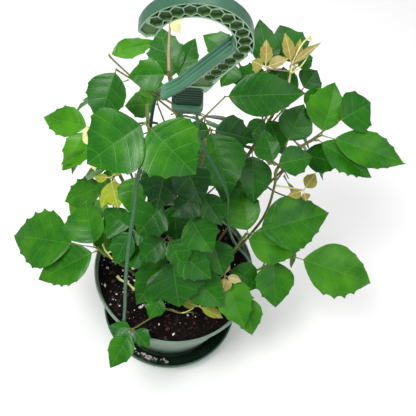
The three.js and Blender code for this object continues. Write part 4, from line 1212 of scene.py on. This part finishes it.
def blade_sheet(base, length, width, arch, lean, plant, chance):
    """A toothed blade without thickness, along +X from its base: folded, arched and quilted. Side
    veins run along its columns and end in the teeth. Where it leans, +Y is its wider side."""
    teeth = max(FEWEST_TEETH, min(MOST_TEETH, round(length / TOOTH_EVERY)))
    columns = BASE_COLUMNS + teeth * TOOTH_COLUMNS + TIP_COLUMNS
    period = (TOOTHED_TO - TOOTHED_FROM) / teeth
    lift = math.tan(math.radians(LEAF_FOLD))
    wave = chance.uniform(0, TURN)
    wave_size = length * plant.wave * chance.uniform(0.5, 1.2)
    curl = chance.uniform(-0.05, 0.05) * length
    deepest = plant.tooth_depth * min(width, TOOTH_GROWTH_ENDS)
    depths = {side: deepest * (0.15 + 1.1 * chance.random() ** 2) for side in (-1, 1)}
    shape = empty_shape()
    uv = shape.loops.layers.uv["UVMap"]
    bmesh.ops.create_grid(shape, x_segments=columns, y_segments=len(BLADE_ROWS) - 1, size=0.5)
    chart = {}
    for vert in shape.verts:
        step = round((vert.co.x + 0.5) * columns) - BASE_COLUMNS
        v = BLADE_ROWS[round((vert.co.y + 0.5) * (len(BLADE_ROWS) - 1))]
        side, out = (1 if v > 0 else -1), abs(v)
        spaces = step / TOOTH_COLUMNS
        share = share_at(step, teeth)
        half = width / 2 * (1 + math.copysign(lean, v))
        reach = half_width(FULL if v * lean > 0 else EVEN, share) * half
        ahead = share
        if 0 <= spaces < teeth:
            phase, edge = step % TOOTH_COLUMNS, out**7
            reach += depths[side] * min(1, (1 - share) * 3.2) * TOOTH_RISE[phase] * edge
            ahead += period * TOOTH_REACH[phase] * edge
        x = (ahead - VEIN_SWEEP * share * (1 - share) * (1 - out**1.3)) * length
        y = v * reach
        fold = lift * (math.hypot(y, MIDRIB_ROUND) - MIDRIB_ROUND) * (1 - 0.25 * out * out)
        droop = arch * length * (x / length) ** 2 - curl * (x / length) ** 3
        bulge = math.sin(math.pi * ((spaces + 0.25) % 1)) * (1 - out**2) * min(1, out * 5)
        quilt = plant.quilting * length * period * bulge * min(1, share * 6)
        ripple = math.sin(TURN * 1.4 * share + wave + (2.1 if v < 0 else 0))
        waving = wave_size * out**2 * ripple * min(1, share * 4)
        vert.co = Vector((base + x, y, fold - droop + quilt + waving))
        chart[vert] = (spaces, y / 10)
    for face in shape.faces:
        for loop in face.loops:
            loop[uv].uv = chart[loop.vert]
    bmesh.ops.remove_doubles(shape, verts=shape.verts, dist=0.02)
    if sum(face.normal.z for face in shape.faces) < 0:
        bmesh.ops.reverse_faces(shape, faces=shape.faces)
    return shape


def leaflet(spec, lean, plant, chance, tone):
    """One leaflet in its leaf's plane: a thin blade, on the stalk that runs on into its rib."""
    turn, stalk, length, width = spec[:4]
    arch = spec[4] if len(spec) > 4 else LEAF_ARCH
    base = HUB_RADIUS + stalk
    shape = blade_sheet(base, length, width * plant.fullness, arch, lean, plant, chance)
    bmesh.ops.solidify(shape, geom=list(shape.faces), thickness=plant.blade_thickness / MM)
    for face in shape.faces:
        face.normal_update()
        face.material_index = UNDER if face.normal.z < -0.3 else UPPER
    give_tone(shape, min(1, max(0, tone + chance.uniform(-0.13, 0.13))))
    if stalk > 1:
        rib = [
            Vector((HUB_RADIUS * 0.4, 0, -0.5)), Vector((base * 0.5, 0, -0.35)),
            Vector((base + 1.5, 0, -0.35)), Vector((base + length * 0.3, 0, -0.45 - arch * length * 0.09)),
        ]
        join_into(shape, tube(rib, [0.75, 0.6, 0.6, 0.2], 6, tone), SKIN)
    bmesh.ops.rotate(shape, verts=shape.verts, matrix=Matrix.Rotation(math.radians(turn), 3, "Z"))
    return shape


def stem_points(stem):
    """A stem that stands in the mix goes straight down into it."""
    x, y, z = stem[0]
    if z > STEM_FREE:
        return stem
    return [(x, y, SOIL_EDGE_TOP - 10), *stem]


def petiole(root, joint, normal, radius, tone):
    """The stalk that runs from a stem to a leaf's joint, and meets it from below."""
    under = joint - normal * PETIOLE_DROP
    span = (under - root).length
    stops = [joint - normal * 0.5, under, root]
    if span > 12:
        stops.insert(2, under.lerp(root, 0.5) - normal * PETIOLE_SAG * span)
    way = smooth_path(stops, 5)
    last = len(way) - 1
    widths = [radius * (0.8 + 0.35 * abs(2 * k / last - 1) ** 3) for k in range(last + 1)]
    return tube(way, widths, 8, tone)


def grow(plant, spec, chance):
    """A stem with its petioles, leaflets and swollen joints, in one mesh."""
    whole = empty_shape()
    tone, radius = spec["tone"], spec["radius"]
    path = smooth_path(stem_points(spec["stem"]), 7)
    joints = [leaf_spec["start"] for leaf_spec in spec["leaves"]]
    radii = []
    for k in range(len(path)):
        share = k / (len(path) - 1)
        swell = max(math.exp(-(((share - joint) * 26) ** 2)) for joint in joints)
        radii.append(radius * (1.12 - 0.3 * share) * (1 + 0.3 * swell))
    join_into(whole, tube(path, radii, 10, tone), SKIN)
    for number, leaf_spec in enumerate(spec["leaves"]):
        joint = Vector(leaf_spec["joint"])
        pose = leaf_frame(*leaf_spec["face"])
        normal = pose.to_3x3() @ Vector((0, 0, 1))
        root = point_at(path, leaf_spec["start"])
        join_into(whole, petiole(root, joint, normal, 0.72 * radius, tone), SKIN)
        end = leaf_spec["leaflets"][0]
        leaf_tone = OWN_TONES.get((spec["name"], number), tone + chance.uniform(-0.1, 0.1))
        for blade in leaf_spec["leaflets"]:
            side = math.sin(math.radians(blade[0] - end[0]))
            lean = 0 if abs(side) < 1e-6 else math.copysign(SIDE_LEAN, side)
            piece = leaflet(blade, lean, plant, chance, leaf_tone)
            bmesh.ops.transform(piece, matrix=Matrix.Translation(joint) @ pose, verts=piece.verts)
            join_into(whole, piece)
    return whole


def grow_all(plants, context, first_seed, finishes):
    """Grows a list of plants, each as a piece of its own that stands for its node."""
    for k, spec in enumerate(plants):
        shape = grow(context.scene.ivy_plant, spec, random.Random(first_seed + k))
        finish_piece(shape, f"grown_{spec['name']}", finishes, [spec["name"]], sharp=50)


VINE_SEED = 40
SHOOT_SEED = 90

# Tendrils and the stubs of shoots: the radius and the route of each, with a bud at its end.
TENDRILS = (
    (1.2, ((83, 117.5, 397), (83, 127, 403), (86, 137, 409.5), (90, 146, 415), (95, 151, 418.5))),
    (0.9, ((84, 118.5, 396), (90.5, 124, 399.5), (95.7, 133, 405), (97.7, 142, 411), (96.5, 151, 417))),
    (1.1, ((-69, -38.5, 213), (-73, -37.5, 219), (-78.5, -34, 222), (-82, -29, 224))),
    (1.1, ((-76, -36, 220), (-70.5, -34, 221), (-66, -38.5, 219), (-63.7, -43, 216))),
    (1.9, ((-68, -29, 148), (-62, -33, 147.5), (-53, -35, 147), (-44, -41, 146.5))),
    (0.9, ((-1.5, -61.5, 154), (8.5, -62, 156), (20, -64, 157), (30, -59, 160), (36, -52, 159))),
)


def tendrils():
    """The pale tendrils, each thinner towards its end, where three small scales close a bud."""
    whole = empty_shape()
    for radius, route in TENDRILS:
        path = smooth_path(route, 6)
        last = len(path) - 1
        join_into(whole, tube(path, [radius * (1 - 0.3 * k / last) for k in range(last + 1)], 10, 0.5))
        for k in range(3):
            scale = empty_shape()
            bmesh.ops.create_icosphere(scale, subdivisions=2, radius=1)
            bmesh.ops.scale(scale, vec=(0.8 * radius, 0.6 * radius, 2.4 * radius), verts=scale.verts)
            splay = Matrix.Rotation(k * TURN / 3, 4, "Z") @ Matrix.Rotation(0.5, 4, "X")
            bmesh.ops.transform(scale, matrix=Matrix.Translation(path[-1]) @ splay, verts=scale.verts)
            give_tone(scale, 0.8)
            join_into(whole, scale)
    return whole


# ---- Settings -----------------------------------------------------------------------------


def color_setting(name, description, default):
    return FloatVectorProperty(
        name=name, description=description, default=default[:3], subtype="COLOR", min=0, max=1,
    )


class PotSettings(bpy.types.PropertyGroup):
    wall: color_setting("Pot colour", "Colour of the pot's wall", paint(108, 134, 112))
    saucer: color_setting("Saucer colour", "Colour of the drip saucer", paint(66, 104, 82))
    perlite_count: IntProperty(
        name="Perlite grains", description="How many white grains lie on the mix", default=90, min=0, max=400,
    )
    chip_count: IntProperty(
        name="Bark chips", description="How many brown chips lie on the mix", default=620, min=0, max=1500,
    )


class HangerSettings(bpy.types.PropertyGroup):
    hook: color_setting("Hook colour", "Colour of the moulded hook", paint(50, 92, 70))
    # Painted highlight: the pale colour on the faces of the hook's lips and ribs.
    edge: color_setting("Edge colour", "Colour of the hook's highlit lips and ribs", paint(140, 172, 142))
    hollow: color_setting("Hollow colour", "Colour inside the honeycomb", paint(80, 116, 68))
    strap: color_setting("Strap colour", "Colour of the three straps", paint(28, 92, 50))


class PlantSettings(bpy.types.PropertyGroup):
    blade_thickness: FloatProperty(
        name="Blade thickness", description="Thickness of a leaf's blade", default=0.0004,
        min=0.0001, max=0.0008, unit="LENGTH",
    )
    tooth_depth: FloatProperty(
        name="Tooth depth", description="Depth of a tooth, as a share of the blade's width",
        default=0.062, min=0, max=0.2, subtype="FACTOR",
    )
    fullness: FloatProperty(
        name="Fullness", description="How broad the finished blades are, as a share of the solid ones",
        default=1.06, min=1, max=1.15, subtype="FACTOR",
    )
    quilting: FloatProperty(
        name="Quilting", description="How far the blade bulges between veins, as a share of their spacing",
        default=0.035, min=0, max=0.15, subtype="FACTOR",
    )
    wave: FloatProperty(
        name="Wave", description="How far a blade's edge waves, as a share of its length",
        default=0.03, min=0, max=0.08, subtype="FACTOR",
    )
    # The three leaf colours are the stops of the tone ramp, so the dark end also serves as painted shade and
    # the bright end as painted light.
    old: color_setting("Old leaf", "Colour of the oldest, darkest leaves", paint(5, 54, 18))
    full: color_setting("Full leaf", "Colour of most leaves", paint(22, 92, 3))
    fresh: color_setting("Fresh leaf", "Colour of the newest full-sized leaves", paint(68, 136, 6))


class StageSettings(bpy.types.PropertyGroup):
    floor: color_setting("Floor colour", "Colour of the plain floor", paint(248, 248, 248))
    lens: FloatProperty(
        name="Lens", description="Focal length of the camera", default=48.46, min=10, max=200,
        unit="CAMERA",
    )


# ---- Operators ----------------------------------------------------------------------------


class IVY_OT_saucer(bpy.types.Operator):
    """Makes the drip saucer under the pot"""

    bl_idname = "ivy.saucer"
    bl_label = "Saucer"

    def execute(self, context):
        color = (*context.scene.ivy_pot.saucer, 1)
        finishes = [moulded_plastic("saucer_plastic", color, 0.4, 40), peat_shade_and_glints(color)]
        finish_piece(wet_and_shaded_inside(saucer_shape()), "drip_saucer", finishes, ["saucer"])
        return {"FINISHED"}


class IVY_OT_pot(bpy.types.Operator):
    """Makes the pot with its rolled lip"""

    bl_idname = "ivy.pot"
    bl_label = "Pot"

    def execute(self, context):
        color = (*context.scene.ivy_pot.wall, 1)
        # The last pair are the heights in metres between which the lower wall is darkened as painted shade.
        finish = moulded_plastic("pot_plastic", color, 0.42, 50, (0.045, 0.125))
        finish_piece(pot_shape(), "hanging_pot", [finish], ["pot"])
        return {"FINISHED"}


class IVY_OT_potting_mix(bpy.types.Operator):
    """Makes the potting mix with its bark chips and perlite"""

    bl_idname = "ivy.potting_mix"
    bl_label = "Potting mix"

    def execute(self, context):
        pot = context.scene.ivy_pot
        chance = random.Random(MIX_SEED)
        finish_piece(soil_shape(), "peat", [damp_peat()], ["soil"], sharp=60)
        bark = grain_finish("bark", paint(10, 6, 6), paint(84, 50, 35), 0.9)
        strewn = soil_spots(chance, pot.chip_count, (-0.2, 0.7))
        chips = grains(chance, strewn, CHIP_SIZES, 0.4, (0, 1))
        finish_piece(chips, "bark_chips", [bark], sharp=20)
        perlite = grain_finish("perlite", paint(176, 170, 156), paint(246, 243, 234), 0.8)
        strewn = soil_spots(chance, pot.perlite_count, (0, 0.9))
        white = grains(chance, strewn, PERLITE_SIZES, 0.75, (0.2, 1))
        heaped = soil_spots(chance, pot.perlite_count // 2, (0, 0.9), PERLITE_SECTOR)
        washed = heaped + ring_spots(chance, SAUCER_GRAINS)
        join_into(white, grains(chance, washed, WASHED_SIZES, 0.75, (0.4, 1)))
        finish_piece(white, "perlite_grains", [perlite], sharp=20)
        return {"FINISHED"}


class IVY_OT_hanger(bpy.types.Operator):
    """Makes the moulded hook with its honeycomb, ridged neck and ribbed block"""

    bl_idname = "ivy.hanger"
    bl_label = "Hanger hook"

    def execute(self, context):
        look = context.scene.ivy_hanger
        color, edge, hollow = ((*c, 1) for c in (look.hook, look.edge, look.hollow))
        finishes = [
            moulded_plastic("hanger_plastic", color, 0.36, 30),
            # Painted highlight on the lips and ribs.
            moulded_plastic("hanger_edge_highlights", edge, 0.4, 30),
            moulded_plastic("hanger_hollows", hollow, 0.5, 30),
            # Painted shade: the block's very dark green stands for the shadow under the bar.
            moulded_plastic("hanger_block_shade", paint(6, 52, 30), 0.5, 30),
            # Painted light: the bar's finish is the hook's colour made lighter, for the light that falls on
            # the bar.
            moulded_plastic("hanger_bar_lit", shade(color, 1.75), 0.42, 30),
        ]
        whole = hook_shape()
        join_into(whole, block_shape())
        join_into(whole, neck_bar(), BAR_SLOT)
        place_hanger(whole)
        finish_piece(whole, "hook", finishes, ["hanger_hook"], sharp=40)
        return {"FINISHED"}


class IVY_OT_straps(bpy.types.Operator):
    """Makes the three straps from the block to the pot's lip"""

    bl_idname = "ivy.straps"
    bl_label = "Straps"

    def execute(self, context):
        color = (*context.scene.ivy_hanger.strap, 1)
        finish = moulded_plastic("strap_plastic", color, 0.44, 60)
        for name in STRAP_ROUTES:
            finish_piece(strap_shape(name), f"band_{name}", [finish], [f"strap_{name}"])
        return {"FINISHED"}


class IVY_OT_vines(bpy.types.Operator):
    """Grows the green vines, each a stem with its toothed leaves"""

    bl_idname = "ivy.vines"
    bl_label = "Vines"

    def execute(self, context):
        plant = context.scene.ivy_plant
        old, full, fresh = ((*c, 1) for c in (plant.old, plant.full, plant.fresh))
        upper = leaf_blade("leaf_upper_side", old, full, fresh, paint(92, 156, 60), 0.32, 0.26)
        under = leaf_blade(
            "leaf_underside", paint(66, 112, 52), paint(104, 146, 66), paint(140, 172, 84),
            paint(160, 186, 110), 0.6, 0.6,
        )
        skin = stem_skin("green_stem", paint(92, 118, 42), paint(104, 92, 46), paint(150, 152, 96))
        grow_all(VINES, context, VINE_SEED, [upper, under, skin])
        return {"FINISHED"}


class IVY_OT_young_shoots(bpy.types.Operator):
    """Grows the pale young shoots"""

    bl_idname = "ivy.young_shoots"
    bl_label = "Young shoots"

    def execute(self, context):
        cream, olive, lime = paint(214, 212, 156), paint(132, 118, 54), paint(140, 158, 16)
        upper = leaf_blade("young_upper_side", cream, olive, lime, paint(226, 214, 160), 0.5, 0.4)
        under = leaf_blade(
            "young_underside", paint(226, 204, 150), paint(146, 128, 76), paint(196, 200, 110),
            paint(232, 216, 170), 0.6, 0.4,
        )
        skin = stem_skin("young_stem", paint(214, 208, 146), paint(172, 146, 104), paint(230, 222, 180))
        grow_all(YOUNG_SHOOTS, context, SHOOT_SEED, [upper, under, skin])
        return {"FINISHED"}


class IVY_OT_tendrils(bpy.types.Operator):
    """Adds the pale tendrils and their buds"""

    bl_idname = "ivy.tendrils"
    bl_label = "Tendrils"

    def execute(self, context):
        pale = paint(226, 226, 160)
        skin = stem_skin("tendril_skin", pale, paint(196, 196, 110), paint(240, 238, 206))
        finish_piece(tendrils(), "tendrils", [skin], sharp=60)
        return {"FINISHED"}


CAMERA_AT = (0.02702, -0.32206, 0.79504)
CAMERA_ELEVATION = 57.04
CAMERA_ROLL = 11.289
LIGHTS_AIM_AT = (0, 0, 0.3)
FLOOR_DROP = 0.0005


def soft_light(name, at, size, power):
    data = bpy.data.lights.new(name, "AREA")
    data.shape = "DISK"
    data.size = size
    data.energy = power
    light = bpy.data.objects.new(name, data)
    light.location = at
    light.rotation_euler = (Vector(LIGHTS_AIM_AT) - Vector(at)).to_track_quat("-Z", "Y").to_euler()
    bpy.context.scene.collection.objects.link(light)


class IVY_OT_stage(bpy.types.Operator):
    """Makes the floor, the soft light and the camera"""

    bl_idname = "ivy.stage"
    bl_label = "Stage"

    def execute(self, context):
        scene = context.scene
        look = scene.ivy_stage
        ground = bmesh.new()
        bmesh.ops.create_grid(ground, x_segments=1, y_segments=1, size=4)
        mesh = bpy.data.meshes.new("floor")
        ground.to_mesh(mesh)
        ground.free()
        finish = Finish("pale_floor", Roughness=0.9, Specular_IOR_Level=0.1, Base_Color=(*look.floor, 1))
        mesh.materials.append(finish.material)
        floor = bpy.data.objects.new("floor", mesh)
        floor.location.z = -FLOOR_DROP
        scene.collection.objects.link(floor)

        world = bpy.data.worlds.new("studio")
        world.use_nodes = True
        sky = world.node_tree.nodes["Background"]
        sky.inputs["Color"].default_value = (1, 1, 1, 1)
        sky.inputs["Strength"].default_value = 0.5
        scene.world = world
        soft_light("key", (-0.5, -0.5, 1.6), 0.6, 19)
        soft_light("fill", (1.1, -0.6, 1.2), 1, 5)
        soft_light("top", (0.1, 0.7, 1.7), 1, 8)

        data = bpy.data.cameras.new("camera")
        data.sensor_width = 36
        data.lens = look.lens
        data.dof.use_dof = False
        camera = bpy.data.objects.new("camera", data)
        tilt = Matrix.Rotation(math.radians(90 - CAMERA_ELEVATION), 4, "X")
        roll = Matrix.Rotation(math.radians(CAMERA_ROLL), 4, "Z")
        camera.matrix_world = Matrix.Translation(CAMERA_AT) @ tilt @ roll
        scene.collection.objects.link(camera)
        scene.camera = camera
        scene.view_settings.view_transform = "Standard"
        return {"FINISHED"}


class IVY_PT_panel(bpy.types.Panel):
    """Lists the pieces of the potted ivy and their settings"""

    bl_idname = "IVY_PT_panel"
    bl_label = "Grape Ivy"
    bl_space_type = "VIEW_3D"
    bl_region_type = "UI"
    bl_category = "Grape Ivy"

    def draw(self, context):
        for label, group, operators in PANEL_ROWS:
            box = self.layout.box()
            box.label(text=label)
            values = getattr(context.scene, group)
            for key in values.__annotations__:
                box.prop(values, key)
            for operator in operators:
                box.operator(operator)


PANEL_ROWS = (
    ("Pot", "ivy_pot", ("ivy.saucer", "ivy.pot", "ivy.potting_mix")),
    ("Hanger", "ivy_hanger", ("ivy.hanger", "ivy.straps")),
    ("Plant", "ivy_plant", ("ivy.vines", "ivy.young_shoots", "ivy.tendrils")),
    ("Stage", "ivy_stage", ("ivy.stage",)),
)
GROUPS = (
    ("ivy_pot", PotSettings), ("ivy_hanger", HangerSettings), ("ivy_plant", PlantSettings),
    ("ivy_stage", StageSettings),
)
CLASSES = (
    IVY_OT_saucer, IVY_OT_pot, IVY_OT_potting_mix, IVY_OT_hanger, IVY_OT_straps, IVY_OT_vines,
    IVY_OT_young_shoots, IVY_OT_tendrils, IVY_OT_stage, IVY_PT_panel,
)


def register():
    for key, group in GROUPS:
        bpy.utils.register_class(group)
        setattr(bpy.types.Scene, key, PointerProperty(type=group))
    for made in CLASSES:
        bpy.utils.register_class(made)


def unregister():
    for made in reversed(CLASSES):
        bpy.utils.unregister_class(made)
    for key, group in reversed(GROUPS):
        delattr(bpy.types.Scene, key)
        bpy.utils.unregister_class(group)


def main():
    register()
    bpy.ops.ivy.saucer()
    bpy.ops.ivy.pot()
    bpy.ops.ivy.potting_mix()
    bpy.ops.ivy.hanger()
    bpy.ops.ivy.straps()
    bpy.ops.ivy.vines()
    bpy.ops.ivy.young_shoots()
    bpy.ops.ivy.tendrils()
    bpy.ops.ivy.stage()


if __name__ == "__main__":
    main()
